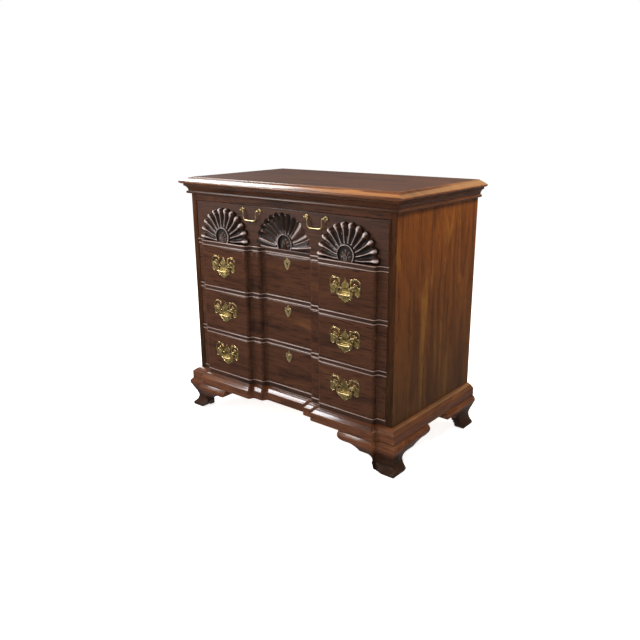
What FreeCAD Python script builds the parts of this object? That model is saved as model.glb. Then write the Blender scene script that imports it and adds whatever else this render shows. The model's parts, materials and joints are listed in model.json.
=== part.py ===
import FreeCAD, Part
import math
import os

# A block-front chest of four drawers.  Millimetres; X to the right, Y to the back, Z up.
# The model is laid out from the middle of the floor line under the plane of the case's front
# edges, and CENTRE_Y moves it so that its origin is the middle of its footprint.

V = FreeCAD.Vector

# ---- case ---------------------------------------------------------------------------------
CASE_W = 899.0
CASE_D = 499.5
SIDE_T = 25.0
HOUSING = 8.0               # depth of the grooves that hold rails and dividers in the sides
STILE_LAP = 8.0             # wood left in front of those grooves
FOOT_H = 114.0
BASE_H = 45.5
BOTTOM_RAIL_H = 20.0
DIVIDER_H = 19.0
OPENING_1 = 140.0
OPENING_2 = 147.5
OPENING_3 = 147.0
OPENING_4 = 145.0
FRIEZE_H = 57.0
FRIEZE_T = 25.0
BACK_RAIL_H = 19.0
BACK_RAIL_D = 60.0
RAIL_D = 85.0               # front to back, from the plane of the case's front edges
RUNNER_W = 40.0
BACK_T = 10.0
RABBET = 12.5
BASE_MEMBER = 70.0

# ---- top board ------------------------------------------------------------------------------
TOP_T = 24.0
TOP_LIP = 33.0              # how far it overhangs the case at the front and the sides
TOP_STEP = 1.8              # the small step where the moulded edge meets the flat
# (back from the lip, height above the board's underside) up the edge
TOP_EDGE = (
    (12.0, 0.0), (1.5, 4.8), (0.0, 6.2), (0.0, 8.5), (4.0, 12.0), (13.0, 17.2), (23.0, 20.6),
    (30.0, TOP_T - TOP_STEP), (30.6, TOP_T))

# ---- bed moulding under the top ------------------------------------------------------------
BED_H = 36.0
BED_P = 20.5
BED_FILLET = 7.0
BED_QUIRK_P = 8.5
BED_QUIRK_DROP = 24.0
BED_BEAD_P = 14.0
BED_BEAD_DROP = 29.5
BED_FOOT_P = 11.0
BED_FOOT_DROP = 34.5

# ---- base moulding: (projection, height above the feet) -------------------------------------
BASE_P = 26.0
BASE_PROFILE = (
    (BASE_P, 0.0), (BASE_P, BASE_H - 20.0), (BASE_P - 1.2, BASE_H - 14.5),
    (BASE_P - 6.0, BASE_H - 10.5), (BASE_P - 13.0, BASE_H - 5.0), (0.5, BASE_H))

# ---- blocked front: half widths from the centre line, and depths from the case's plane --------
RECESS_HALF = 100.0
RECESS_SWEEP = 24.0
RECESS_DEPTH = 19.0
BLOCK_INNER = 150.0
BLOCK_INNER_SWEEP = 22.0
BLOCK_MARGIN = 70.5         # from the case's corner to the outer step
BLOCK_OUTER_SWEEP = 20.0
BLOCK_OUT = 19.0
STEP_SHIFT = 0.72           # how far the steps move outward for each mm that a moulding projects
SWEEP_CHORDS = 2            # flats to each arc of a step, the steepest one shared by both arcs

# ---- cock beads round the drawers -----------------------------------------------------------
BEAD_W = 4.8
BEAD_PROUD = 1.6
BEAD_FIELD = 0.8            # how far the flat between two beads lies behind the case's plane

# ---- feet: (projection, height) up the ogee ---------------------------------------------------
OGEE_PROFILE = (
    (28.0, 0.0), (28.5, 12.5), (20.5, 20.5), (14.2, 29.0), (12.5, 42.0), (17.5, 59.0),
    (30.0, 85.0), (35.3, 98.0), (34.0, 106.0), (27.0, FOOT_H))
FACING_BACK = 8.0           # the facings' inner face, behind the case's faces
FOOT_REACH = 181.0          # from the case's corner to the end of a foot's wing
LEG_W = 47.0                # along the sides
FRONT_LEG_W = 55.0          # along the front, where the block's step runs down the leg
# the bracket's lower edge: (from the wing's end, below the foot's top), then (past the leg, up)
WING_ROUND = (2.5, 16.0)
WING_LOW = (12.0, 27.0)
WING_SWELL = (51.0, 29.0)
WING_STEP = (70.0, 37.0)
WING_CUSP = (83.0, 50.0)
ARCH = (12.0, 50.0)
ARCH_TURN = (2.0, 55.0)
KNEE = (-1.0, 66.0)
ANKLE_DROP = 88.0
LEG_HOLLOW = (-3.5, 9.0)
TOE_IN = 12.0
REAR_BRACKET_T = 18.0
REAR_BRACKET_REACH = 150.0
REAR_BRACKET_LIP = 16.0     # height of the bracket's inner end
REAR_BRACKET_DROP = 50.0    # from the foot's top to where the bracket leaves the leg
GLUE_BLOCK = 38.0
BLOCK_CLEAR = 2.0           # the glue blocks stop short of the floor

# ---- drawers --------------------------------------------------------------------------------
DRAWER_GAP = 1.6
DRAWER_DROP = 1.2           # under the front
RUN_GAP = 0.3               # under the sides
FRONT_BACK = 33.0           # the back face of every front
DRAWER_SIDE_T = 12.0
DRAWER_BACK_T = 10.0
DRAWER_BOTTOM_T = 8.0
BOTTOM_LIFT = 8.0
GROOVE = 5.0
SIDE_TRIM = 7.0             # the drawer's sides are this much lower than its opening
TAILS = 3                   # dovetails that join a side to the front
TAIL_L = 17.0
TAIL_NECK = 0.58            # a tail's share of its pitch where it leaves the side
TAIL_SLOPE = 1 / 7
TAIL_ROOT = 1.0
STOP_GAP = 3.0

# ---- carved shells --------------------------------------------------------------------------
SHELL_Z = 4.0               # centre of the outline circle, above the first divider
SHELL_R = 105.0
SHELL_FIRST = 1.0           # degrees above the horizontal at which the lobes start
LOBE_R = 13.3
LOBES = 12
RING_Z = 21.0
RING_R = 33.5
RING_W = 5.0
RING_PROUD = 23.0
DISC_PROUD = 17.0
RING_PROFILE = ((RING_R - RING_W, DISC_PROUD), (RING_R - RING_W + 1.2, RING_PROUD),
                (RING_R - 1.2, RING_PROUD))
# (share of the way from ring to rim, crest height, valley height, fullness of the lobe)
CONVEX_STATIONS = (
    (0.0, 19.5, 17.5, 0.5), (0.5, 16.5, 8.0, 0.35), (0.88, 15.5, 4.0, 0.85),
    (1.0, 7.0, 2.0, 0.95))
HOLLOW_R = 110.0
HOLLOW_FIRST = 11.0
HOLLOW_LOBE_R = 14.0
HOLLOWS = 13
# (share of the way from ring to rim, depth of the ridges, depth of the hollows, fullness)
CONCAVE_STATIONS = (
    (0.0, 8.0, 6.0, 0.7), (0.55, 13.5, 7.5, 0.75), (1.0, 4.0, 0.3, 0.85))
EYE_DEPTH = 8.0             # floor of the hollow shell's ring
EYE_RIM = 5.5
RIDGE = 2.5                 # wood left between the lowest flutes and the recess below them

# ---- brasses --------------------------------------------------------------------------------
PLATE_T = 1.6
PULL_SPREAD = 78.0
PULL_RISE = 16.5            # pull's pivots above the middle of the opening
PIVOT_PROUD = 7.5
ROSETTE_X = 144.5
ROSETTE_SPREAD = 80.0
ROSETTE_DROP = 18.0         # pivots below the top of the first opening
ROSETTE_PROUD = 9.0
ROSETTE_R = 11.0
ROSETTE_T = 2.4
PIN_R = 1.5
PIN_FIT = 0.08              # from the pin's corners to the flats of its bore
PIN_REACH = 0.7             # past the post's middle
PIN_END_GAP = 0.5
BAIL_R = 2.3
# (in from the post, up) down the necks of the bails: the first drawer's, then the others'
LOOP_NECK = ((10.0, -4.0), (10.5, -26.0), (18.0, -33.0))
LOOP_LOW = -34.0
SWAN_NECK = ((13.5, -5.0), (12.5, -20.0), (16.0, -28.0))
SWAN_LOW = -29.3
SHANK_R = 2.5
NUT_R = 6.0
NUT_T = 4.0
KNOB_R = 5.0
FACETS = 8                  # sides of knobs and rosettes
ROD_FACETS = 6              # sides of bails, pins, shanks and their holes
# right half of a backplate, from the middle of the pull's pivots: finial, lobe, ear, pendant
PLATE_OUTLINE = (
    (0, 25), (7.5, 10), (14.5, 4.5), (10.5, -3), (16, -7.5), (21, -2), (21.5, 6),
    (15.5, 13), (18, 21), (26, 24.5), (30.5, 20), (39, 25.5), (51, 24), (60, 15), (61.5, 0),
    (56, -9), (42, -14), (57, -18.5), (54.5, -29.5), (44, -35), (33, -25), (29, -36),
    (19, -43.5), (10, -48.5), (0, -56))
PLATE_CRESCENT = ((26, 6), (31, 12), (39, 14.5), (48, 11), (51.5, 2), (46, 7.5), (34, 8.5))
ESCUTCHEON_W = 30.0
ESCUTCHEON_H = 44.0
ESCUTCHEON_DROP = 29.0
# right half of the escutcheon, as shares of its width and height
ESCUTCHEON_OUTLINE = (
    (0.0, 0.5), (0.14, 0.38), (0.25, 0.25), (0.44, 0.22), (0.5, 0.05), (0.38, -0.14),
    (0.31, -0.3), (0.17, -0.41), (0.0, -0.5))
KEYHOLE_R = 3.6
KEYHOLE_SLOT = 3.0
KEYHOLE_TAIL = 13.0

# ---- locks ----------------------------------------------------------------------------------
LOCK_W = 60.0
LOCK_H = 42.0
LOCK_T = 10.0
BOLT_W = 20.0
BOLT_T = 5.0
BOLT_H = 22.0
BOLT_FIT = 0.3
BOLT_THROW = 8.0
MORTISE_CLEAR = 2.0

# ---- places worked out from the sizes above --------------------------------------------------
HALF_W = CASE_W / 2
BLOCK_OUTER = HALF_W - BLOCK_MARGIN
SHELL_X = (BLOCK_INNER + BLOCK_INNER_SWEEP + BLOCK_OUTER) / 2
OPENING_HALF = HALF_W - SIDE_T
CASE_Z = FOOT_H + BASE_H
OPENINGS = (OPENING_1, OPENING_2, OPENING_3, OPENING_4)
BLOCK_TIP = max(p for p, z in OGEE_PROFILE)
CENTRE_Y = (CASE_D - BLOCK_OUT - BLOCK_TIP) / 2
DRAWER_HALF = OPENING_HALF - DRAWER_GAP
DRAWER_END = CASE_D - BACK_T - STOP_GAP


def opening_levels():
    """Bottom and top of each opening, from the first drawer down."""
    levels = []
    bottom = CASE_Z + BOTTOM_RAIL_H
    for height in reversed(OPENINGS):
        levels.insert(0, (bottom, bottom + height))
        bottom += height + DIVIDER_H
    return levels


LEVELS = opening_levels()
FRIEZE_Z = LEVELS[0][1]
TOP_Z = FRIEZE_Z + FRIEZE_H


# ---- helpers --------------------------------------------------------------------------------
def box(x0, x1, y0, y1, z0, z1):
    return Part.makeBox(x1 - x0, y1 - y0, z1 - z0, V(x0, y0, z0))


def mirrored(shape):
    return shape.mirror(V(0, 0, 0), V(1, 0, 0))


def both_sides(shape):
    """The shape on the right and its mirror image on the left, as one group."""
    return Part.Compound([shape, mirrored(shape)])


def line(a, b):
    return Part.makeLine(a, b)


def arc(a, through, b):
    return Part.Arc(a, through, b).toShape()


def closed_wire(points):
    return Part.makePolygon(list(points) + [points[0]])


def plan_prism(points, z0, z1):
    """A prism over an outline drawn in plan."""
    wire = closed_wire([V(x, y, z0) for x, y in points])
    return Part.Face(wire).extrude(V(0, 0, z1 - z0))


def front_prism(points, y0, y1):
    """A prism behind an outline drawn in the front view."""
    wire = closed_wire([V(x, y0, z) for x, z in points])
    return Part.Face(wire).extrude(V(0, y1 - y0, 0))


def is_flat(a, b, c, d):
    normal = (b - a).cross(c - a)
    return abs(normal.dot(d - a)) < 1e-6 * max(normal.Length * (d - a).Length, 1e-9)


def patch(a, b, c, d):
    """The four-sided patch a, b, c, d as one flat face, or as two triangles."""
    if is_flat(a, b, c, d):
        return [Part.Face(closed_wire([a, b, c, d]))]
    return [Part.Face(closed_wire([a, b, c])), Part.Face(closed_wire([a, c, d]))]


def sewn(faces):
    shell = Part.makeShell(faces)
    shell.sewShape()
    solid = Part.Solid(shell)
    solid.fix(1e-4, 1e-4, 1e-4)
    return solid


def stack(sections):
    """A flat-faced solid through closed sections that have as many points each."""
    faces = [Part.Face(closed_wire(sections[0])), Part.Face(closed_wire(sections[-1]))]
    count = len(sections[0])
    for low, high in zip(sections, sections[1:]):
        for i in range(count):
            k = (i + 1) % count
            faces += patch(low[i], low[k], high[k], high[i])
    return sewn(faces)


def ngon(centre, u, v, radius, sides):
    """The corners of a regular polygon about centre, in the plane of the vectors u and v."""
    points = []
    for i in range(sides):
        angle = 2 * math.pi * (i + 0.5) / sides
        points.append(centre + u * (radius * math.cos(angle)) + v * (radius * math.sin(angle)))
    return points


def turned(x, z, profile, sides):
    """A faceted turning along Y, through (y, radius) points."""
    return stack([ngon(V(x, y, z), V(1, 0, 0), V(0, 0, 1), r, sides) for y, r in profile])


def faceted_rod(points, radii, y, sides):
    """A rod along (x, z) points in the plane at y, mitred where it turns."""
    sections = []
    last = len(points) - 1
    for i, (x, z) in enumerate(points):
        x0, z0 = points[max(i - 1, 0)]
        x1, z1 = points[min(i + 1, last)]
        before = V(x - x0, 0, z - z0) if i else V(x1 - x, 0, z1 - z)
        after = V(x1 - x, 0, z1 - z) if i < last else before
        before = V(before).normalize()
        along = (before + V(after).normalize()).normalize()
        across = V(-along.z, 0, along.x) / along.dot(before)
        sections.append(ngon(V(x, y, z), across, V(0, 1, 0), radii[i], sides))
    return stack(sections)


# ---- blocked outline ------------------------------------------------------------------------
def sweep_points(x0, y0, x1, y1):
    """Points of an S of two equal arcs between two flats of the front, both ends included."""
    width, rise = abs(x1 - x0), abs(y1 - y0)
    sign_x = math.copysign(1, x1 - x0)
    sign_y = math.copysign(1, y1 - y0)
    radius = (width * width + rise * rise) / (4 * rise)
    turn = 2 * math.atan(rise / width)
    first, second = [], []
    for i in range(SWEEP_CHORDS):
        angle = turn * i / SWEEP_CHORDS
        dx = sign_x * radius * math.sin(angle)
        dy = sign_y * radius * (1 - math.cos(angle))
        first.append((x0 + dx, y0 + dy))
        second.insert(0, (x1 - dx, y1 - dy))
    return first + second


def block_steps(p):
    """The three steps of the right half at projection p: (x0, depth0, x1, depth1)."""
    shift = STEP_SHIFT * p
    recess = RECESS_HALF - shift
    inner = BLOCK_INNER - shift
    outer = BLOCK_OUTER + shift
    return (
        (recess, RECESS_DEPTH, recess + RECESS_SWEEP, 0.0),
        (inner, 0.0, inner + BLOCK_INNER_SWEEP, -BLOCK_OUT),
        (outer, -BLOCK_OUT, outer + BLOCK_OUTER_SWEEP, 0.0))


def blocked_points(p):
    """The blocked front's turning points from left to right, p in front of the case's plane."""
    right = []
    for x0, d0, x1, d1 in block_steps(p):
        right += sweep_points(x0, d0 - p, x1, d1 - p)
    return [(-x, y) for x, y in reversed(right)] + right


def blocked_section(p, z, x_end, back):
    """A closed outline: the blocked front, then the points in back from right to left."""
    plan = [(-x_end, -p)] + blocked_points(p) + [(x_end, -p)] + back
    return [V(x, y, z) for x, y in plan]


def blocked_board(z0, z1, half, back_y):
    """A board with the blocked front and square ends."""
    back = [(half, back_y), (-half, back_y)]
    return stack([blocked_section(0.0, z, half, back) for z in (z0, z1)])


# ---- case -----------------------------------------------------------------------------------
def housed_levels():
    """Bottom and top of everything that is let into the sides behind the stile."""
    levels = [(CASE_Z, CASE_Z + BOTTOM_RAIL_H, CASE_D - BACK_T)]
    for bottom, top in LEVELS[1:]:
        levels.append((top, top + DIVIDER_H, RAIL_D))
    return levels


def case_side():
    side = box(OPENING_HALF, HALF_W, 0, CASE_D, CASE_Z, TOP_Z)
    bead_x = OPENING_HALF + BEAD_W
    bead_z = CASE_Z + BOTTOM_RAIL_H - BEAD_W
    bead = Part.Wire([
        arc(V(OPENING_HALF, 0, bead_z), V(OPENING_HALF + BEAD_W / 2, -BEAD_PROUD, bead_z),
            V(bead_x, 0, bead_z)),
        line(V(bead_x, 0, bead_z), V(OPENING_HALF, 0, bead_z))])
    side = side.fuse(Part.Face(bead).extrude(V(0, 0, FRIEZE_Z - bead_z)))
    for z0, z1, depth in housed_levels():
        side = side.cut(box(OPENING_HALF, OPENING_HALF + HOUSING, STILE_LAP, depth, z0, z1))
    frieze_seat = box(OPENING_HALF, OPENING_HALF + HOUSING, STILE_LAP, FRIEZE_T, FRIEZE_Z, TOP_Z)
    rail_y = CASE_D - BACK_T - BACK_RAIL_D
    rail_seat = box(OPENING_HALF, OPENING_HALF + HOUSING, rail_y, CASE_D - BACK_T,
                    TOP_Z - BACK_RAIL_H, TOP_Z)
    rabbet = box(OPENING_HALF, OPENING_HALF + RABBET, CASE_D - BACK_T, CASE_D, CASE_Z, TOP_Z)
    return side.cut([frieze_seat, rail_seat, rabbet]).removeSplitter()


def top_rails():
    reach = OPENING_HALF + HOUSING
    frieze = box(-OPENING_HALF, OPENING_HALF, 0, FRIEZE_T, FRIEZE_Z, TOP_Z)
    frieze = frieze.fuse(box(-reach, reach, STILE_LAP, FRIEZE_T, FRIEZE_Z, TOP_Z))
    rail_y = CASE_D - BACK_T - BACK_RAIL_D
    rail = box(-reach, reach, rail_y, CASE_D - BACK_T, TOP_Z - BACK_RAIL_H, TOP_Z)
    return Part.Compound([frieze.removeSplitter(), rail])


def beaded_profile(height, lower_bead):
    """(projection, height) up the front of a rail with a bead along its edges."""
    low, high = BEAD_W * 0.25, BEAD_W * 0.75
    profile = [(-BEAD_FIELD, 0.0)]
    if lower_bead:
        profile += [(BEAD_PROUD, low), (BEAD_PROUD, high), (-BEAD_FIELD, BEAD_W)]
    profile += [(-BEAD_FIELD, height - BEAD_W), (BEAD_PROUD, height - high),
                (BEAD_PROUD, height - low), (-BEAD_FIELD, height)]
    return profile


def beaded_rail(z, height, lower_bead):
    """A rail across the front that follows the blocking, with tongues for the sides."""
    back = [(OPENING_HALF, RAIL_D), (-OPENING_HALF, RAIL_D)]
    rail = stack([blocked_section(p, z + up, OPENING_HALF, back)
                  for p, up in beaded_profile(height, lower_bead)])
    tongue = box(OPENING_HALF - HOUSING, OPENING_HALF + HOUSING, STILE_LAP, RAIL_D, z, z + height)
    return rail.fuse([tongue, mirrored(tongue)]).removeSplitter()


def divider(number):
    """The rail between drawers number and number + 1, mortised for the lower one's lock."""
    z = LEVELS[number][1]
    mortise = box(-BOLT_W / 2 - MORTISE_CLEAR, BOLT_W / 2 + MORTISE_CLEAR,
                  bolt_y() - BOLT_T / 2 - MORTISE_CLEAR, bolt_y() + BOLT_T / 2 + MORTISE_CLEAR,
                  z, z + BOLT_THROW + MORTISE_CLEAR)
    return beaded_rail(z, DIVIDER_H, True).cut(mortise)


def bottom_board():
    reach = OPENING_HALF + HOUSING
    return box(-reach, reach, RAIL_D, CASE_D - BACK_T, CASE_Z, CASE_Z + BOTTOM_RAIL_H)


def back_panel():
    reach = OPENING_HALF + RABBET
    return box(-reach, reach, CASE_D - BACK_T, CASE_D, CASE_Z, TOP_Z)


def drawer_runners():
    """A runner on each side behind every divider, and a kicker above the first drawer."""
    inner = OPENING_HALF - RUNNER_W
    strips = []
    for bottom, top in LEVELS[1:]:
        strips.append(box(inner, OPENING_HALF, RAIL_D, CASE_D - BACK_T, top, top + DIVIDER_H))
    strips.append(box(inner, OPENING_HALF, FRIEZE_T, CASE_D - BACK_T, FRIEZE_Z,
                      FRIEZE_Z + DIVIDER_H))
    return Part.Compound(strips + [mirrored(strip) for strip in strips])


def top_board():
    sections = []
    for back, up in TOP_EDGE:
        p = TOP_LIP - back
        x = HALF_W + p
        z = TOP_Z + up
        sections.append([V(-x, -p, z), V(x, -p, z), V(x, CASE_D, z), V(-x, CASE_D, z)])
    return stack(sections)


# ---- bed moulding ---------------------------------------------------------------------------
def bed_face(place):
    """The bed moulding's section; place turns (projection, drop) into a point."""
    wall_foot, foot = place(0, BED_H), place(BED_FOOT_P, BED_FOOT_DROP)
    quirk = place(BED_QUIRK_P, BED_QUIRK_DROP)
    fillet, tip = place(BED_P, BED_FILLET), place(BED_P, 0)
    cove_p = BED_QUIRK_P + (BED_P - BED_QUIRK_P) * 0.2
    cove_drop = BED_FILLET + (BED_QUIRK_DROP - BED_FILLET) * 0.4
    wall_top = place(0, 0)
    return Part.Face(Part.Wire([
        line(wall_foot, foot), arc(foot, place(BED_BEAD_P, BED_BEAD_DROP), quirk),
        arc(quirk, place(cove_p, cove_drop), fillet), line(fillet, tip), line(tip, wall_top),
        line(wall_top, wall_foot)]))


def bed_moulding_front():
    reach = HALF_W + BED_P
    face = bed_face(lambda p, drop: V(-reach, -p, TOP_Z - drop))
    strip = face.extrude(V(2 * reach, 0, 0))
    mitres = plan_prism([(-reach, -BED_P), (reach, -BED_P), (HALF_W, 0), (-HALF_W, 0)],
                        TOP_Z - BED_H, TOP_Z)
    return strip.common(mitres)


def bed_moulding_returns():
    face = bed_face(lambda p, drop: V(HALF_W + p, -BED_P, TOP_Z - drop))
    strip = face.extrude(V(0, CASE_D + BED_P, 0))
    reach = HALF_W + BED_P
    mitre = plan_prism([(HALF_W, 0), (reach, -BED_P), (reach, CASE_D), (HALF_W, CASE_D)],
                       TOP_Z - BED_H, TOP_Z)
    return both_sides(strip.common(mitre))


# ---- base -----------------------------------------------------------------------------------
def base_moulding_front():
    inner = HALF_W - BASE_MEMBER
    back = [(inner, BASE_MEMBER), (-inner, BASE_MEMBER)]
    return stack([blocked_section(p, FOOT_H + up, HALF_W + p, back) for p, up in BASE_PROFILE])


def base_moulding_returns():
    inner = HALF_W - BASE_MEMBER
    sections = []
    for p, up in BASE_PROFILE:
        z = FOOT_H + up
        sections.append([V(inner, BASE_MEMBER, z), V(HALF_W + p, -p, z),
                         V(HALF_W + p, CASE_D, z), V(inner, CASE_D, z)])
    return both_sides(stack(sections))


def base_frame_back():
    inner = HALF_W - BASE_MEMBER
    return box(-inner, inner, CASE_D - BASE_MEMBER, CASE_D, FOOT_H, FOOT_H + BASE_H)


# ---- feet -----------------------------------------------------------------------------------
def bracket_edges(place, shift, leg_w):
    """The lower outline of a foot; place turns (distance from the case's corner, z) to a point.

    The wing ends in a round, steps up past a cusp and runs down into the leg.
    """
    def wing(point):
        return place(FOOT_REACH + shift - point[0], FOOT_H - point[1])

    def leg(point):
        return place(leg_w + shift + point[0], FOOT_H - point[1])

    far = -BLOCK_TIP
    wing_top, cusp, arch, knee = wing((0.0, 0.0)), wing(WING_CUSP), leg(ARCH), leg(KNEE)
    ankle = leg((0.0, ANKLE_DROP))
    hollow = place(leg_w + shift + LEG_HOLLOW[0], LEG_HOLLOW[1])
    toe = place(leg_w + shift - TOE_IN, 0)
    return [
        arc(wing_top, wing(WING_ROUND), wing(WING_LOW)), line(wing(WING_LOW), wing(WING_SWELL)),
        arc(wing(WING_SWELL), wing(WING_STEP), cusp), line(cusp, arch),
        arc(arch, leg(ARCH_TURN), knee), line(knee, ankle), arc(ankle, hollow, toe),
        line(toe, place(far, 0)), line(place(far, 0), place(far, FOOT_H)),
        line(place(far, FOOT_H), wing_top)]


def front_facing():
    """The right foot's front, blocked like the case above it."""
    wing = HALF_W - FOOT_REACH
    inner = HALF_W - FACING_BACK
    sections = []
    for p, z in OGEE_PROFILE:
        x0, d0, x1, d1 = block_steps(p)[2]
        plan = [(wing, d0 - p)] + sweep_points(x0, d0 - p, x1, d1 - p)
        plan += [(HALF_W + p, -p), (inner, FACING_BACK), (wing, FACING_BACK)]
        sections.append([V(x, y, z) for x, y in plan])
    front = -BLOCK_OUT - BLOCK_TIP
    edges = bracket_edges(lambda u, z: V(HALF_W - u, front, z), 0.0, FRONT_LEG_W)
    outline = Part.Face(Part.Wire(edges))
    return stack(sections).common(outline.extrude(V(0, FACING_BACK - front, 0)))


def side_facing(y0, mitred, outline_edges):
    """The ogee along a side, from y0 or the front mitre, cut to its bracket outline."""
    inner = HALF_W - FACING_BACK
    profile = [(HALF_W + p, z) for p, z in OGEE_PROFILE] + [(inner, FOOT_H), (inner, 0.0)]
    outline = Part.Face(Part.Wire(outline_edges)).extrude(V(FACING_BACK + BLOCK_TIP, 0, 0))
    strip = front_prism(profile, y0, CASE_D).common(outline)
    if mitred:
        far = HALF_W + BLOCK_TIP
        wedge = plan_prism([(inner, FACING_BACK), (far, -BLOCK_TIP), (inner, -BLOCK_TIP)],
                           0, FOOT_H)
        strip = strip.cut(wedge)
    return strip


def foot_front():
    inner = HALF_W - FACING_BACK
    edges = bracket_edges(lambda u, z: V(inner, u, z), 0.0, LEG_W)
    return Part.Compound([front_facing(), side_facing(-BLOCK_TIP, True, edges)])


def foot_back():
    """A back foot: the same ogee beside a flat rear bracket."""
    inner = HALF_W - FACING_BACK
    edges = bracket_edges(lambda u, z: V(inner, CASE_D - u, z), BASE_P, LEG_W)
    reach = HALF_W - REAR_BRACKET_REACH
    bracket = front_prism([
        (inner, 0), (inner - LEG_W + FACING_BACK, 0), (inner - LEG_W, FOOT_H - REAR_BRACKET_DROP),
        (reach, FOOT_H - REAR_BRACKET_LIP), (reach, FOOT_H), (inner, FOOT_H)],
        CASE_D - REAR_BRACKET_T, CASE_D)
    facing = side_facing(CASE_D - FOOT_REACH - BASE_P, False, edges)
    return Part.Compound([facing, bracket])


def foot_glue_blocks():
    """Upright blocks in the corners of the feet, glued to the facings and the base frame."""
    inner = HALF_W - FACING_BACK
    front = box(inner - GLUE_BLOCK, inner, FACING_BACK, FACING_BACK + GLUE_BLOCK,
                BLOCK_CLEAR, FOOT_H)
    back_y = CASE_D - REAR_BRACKET_T
    back = box(inner - GLUE_BLOCK, inner, back_y - GLUE_BLOCK, back_y, BLOCK_CLEAR, FOOT_H)
    return Part.Compound([front, mirrored(front), back, mirrored(back)])


# ---- carved shells --------------------------------------------------------------------------
def scallop(phase, pitch, radius, lobe_radius):
    """Distance of the scalloped outline from its centre, phase 0.5 being a lobe's middle."""
    swing = (phase - 0.5) * pitch
    across = radius * math.sin(swing)
    return radius * math.cos(swing) + math.sqrt(max(lobe_radius ** 2 - across ** 2, 0.0))


def rim_points(x, centre_z, radius, lobe_radius, lobes, first):
    """(phase, point) round the scalloped rim from right to left, four to a lobe."""
    pitch = math.radians(180 - 2 * first) / lobes
    rim = []
    for j in range(4 * lobes + 1):
        phase = (j % 4) / 4
        angle = math.radians(first) + pitch * j / 4
        reach = scallop(phase, pitch, radius, lobe_radius)
        rim.append((phase, V(x + reach * math.cos(angle), 0, centre_z + reach * math.sin(angle))))
    return rim


def lobe_rows(rim, eye, stations, sign):
    """Rows of points from the ring about eye out to the rim."""
    rows = []
    for share, crest, valley, quarter in stations:
        fullness = {0.0: 0.0, 0.25: quarter, 0.5: 1.0, 0.75: quarter}
        row = []
        for phase, tip in rim:
            start = eye + (tip - eye) * (RING_R / tip.distanceToPoint(eye))
            point = start + (tip - start) * share
            height = valley + (crest - valley) * fullness[phase]
            row.append(V(point.x, sign * height, point.z))
        rows.append(row)
    return rows


def ring_rows(rim, eye):
    """The raised ring's rows of points, from its inside out."""
    rows = []
    for radius, height in RING_PROFILE:
        row = []
        for phase, tip in rim:
            point = eye + (tip - eye) * (radius / tip.distanceToPoint(eye))
            row.append(V(point.x, -height, point.z))
        rows.append(row)
    return rows


def skirted(rows, eye, foot_z):
    """The rows with a column added at both ends that stands on the level foot_z."""
    drop = eye.z - foot_z
    inner_rows = len(RING_PROFILE)
    outer_rows = len(rows) - inner_rows - 1
    ring_reach = math.sqrt(RING_R ** 2 - drop ** 2)
    rim_reach = rows[-1][0].x - eye.x
    result = []
    for i, row in enumerate(rows):
        if i < inner_rows:
            reach = math.sqrt(RING_PROFILE[i][0] ** 2 - drop ** 2)
        else:
            reach = ring_reach + (rim_reach - ring_reach) * (i - inner_rows) / outer_rows
        right, left = V(eye.x + reach, row[0].y, foot_z), V(eye.x - reach, row[-1].y, foot_z)
        result.append([right] + row + [left])
    return result


def carved_solid(rows, flat_y, eye=None):
    """A solid between a carved field of points and the plane at flat_y.

    With an eye, the field is closed inside its first row by a fan about that point.
    """
    faces = []
    for low, high in zip(rows, rows[1:]):
        for j in range(len(low) - 1):
            faces += patch(low[j], low[j + 1], high[j + 1], high[j])
    loop = [row[0] for row in rows] + rows[-1][1:-1] + [row[-1] for row in reversed(rows)]
    if eye:
        inner = rows[0] + [rows[0][0]]
        faces += [Part.Face(closed_wire([eye, a, b])) for a, b in zip(inner, inner[1:])]
    else:
        loop += list(reversed(rows[0]))[1:-1]
    flat = [V(p.x, flat_y, p.z) for p in loop]
    for i in range(len(loop)):
        k = (i + 1) % len(loop)
        faces.append(Part.Face(closed_wire([loop[i], loop[k], flat[k], flat[i]])))
    faces.append(Part.Face(closed_wire(flat)))
    return sewn(faces)


def convex_shell():
    """One applied shell: lobes that swell to round ends, and a raised ring with a sunk eye."""
    floor_z = LEVELS[0][0]
    eye = V(SHELL_X, 0, floor_z + RING_Z)
    rim = rim_points(SHELL_X, floor_z + SHELL_Z, SHELL_R, LOBE_R, LOBES, SHELL_FIRST)
    rows = ring_rows(rim, eye) + lobe_rows(rim, eye, CONVEX_STATIONS, -1)
    rows = skirted(rows, eye, floor_z + DRAWER_DROP)
    return carved_solid(rows, 0.0, V(eye.x, -DISC_PROUD, eye.z))


def hollow_shell_cuts():
    """What is carved out of the first drawer's front: flutes, eye and the recess below."""
    floor_z = LEVELS[0][0]
    front = -RECESS_DEPTH
    eye = V(0, 0, floor_z + RING_Z)
    rim = rim_points(0, floor_z + SHELL_Z, HOLLOW_R, HOLLOW_LOBE_R, HOLLOWS, HOLLOW_FIRST)
    rows = lobe_rows(rim, eye, CONCAVE_STATIONS, 1)
    eye_r = RING_R - RING_W
    eye_cut = turned(0, eye.z, [(front, eye_r), (EYE_RIM, eye_r - 1), (EYE_DEPTH, eye_r / 3)],
                     2 * FACETS)
    start, end = rows[0][0], rows[-1][0]
    sweep = sweep_points(RECESS_HALF, RECESS_DEPTH, RECESS_HALF + RECESS_SWEEP, 0.0)
    edge = RECESS_HALF + RECESS_SWEEP
    plan = sweep + [(edge, front), (RING_R / 2, front), (RING_R / 2, RECESS_DEPTH)]
    under = front_prism([
        (RING_R, floor_z), (edge, floor_z), (edge, end.z - RIDGE), (end.x, end.z - RIDGE),
        (start.x, start.z - RIDGE)], front, RECESS_DEPTH)
    recess = plan_prism(plan, floor_z, end.z).common(under)
    return [carved_solid(rows, front), eye_cut, recess, mirrored(recess)]


# ---- drawers --------------------------------------------------------------------------------
def bolt_y():
    """Middle of the lock bolt's thickness."""
    return FRONT_BACK - LOCK_T / 2


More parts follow.
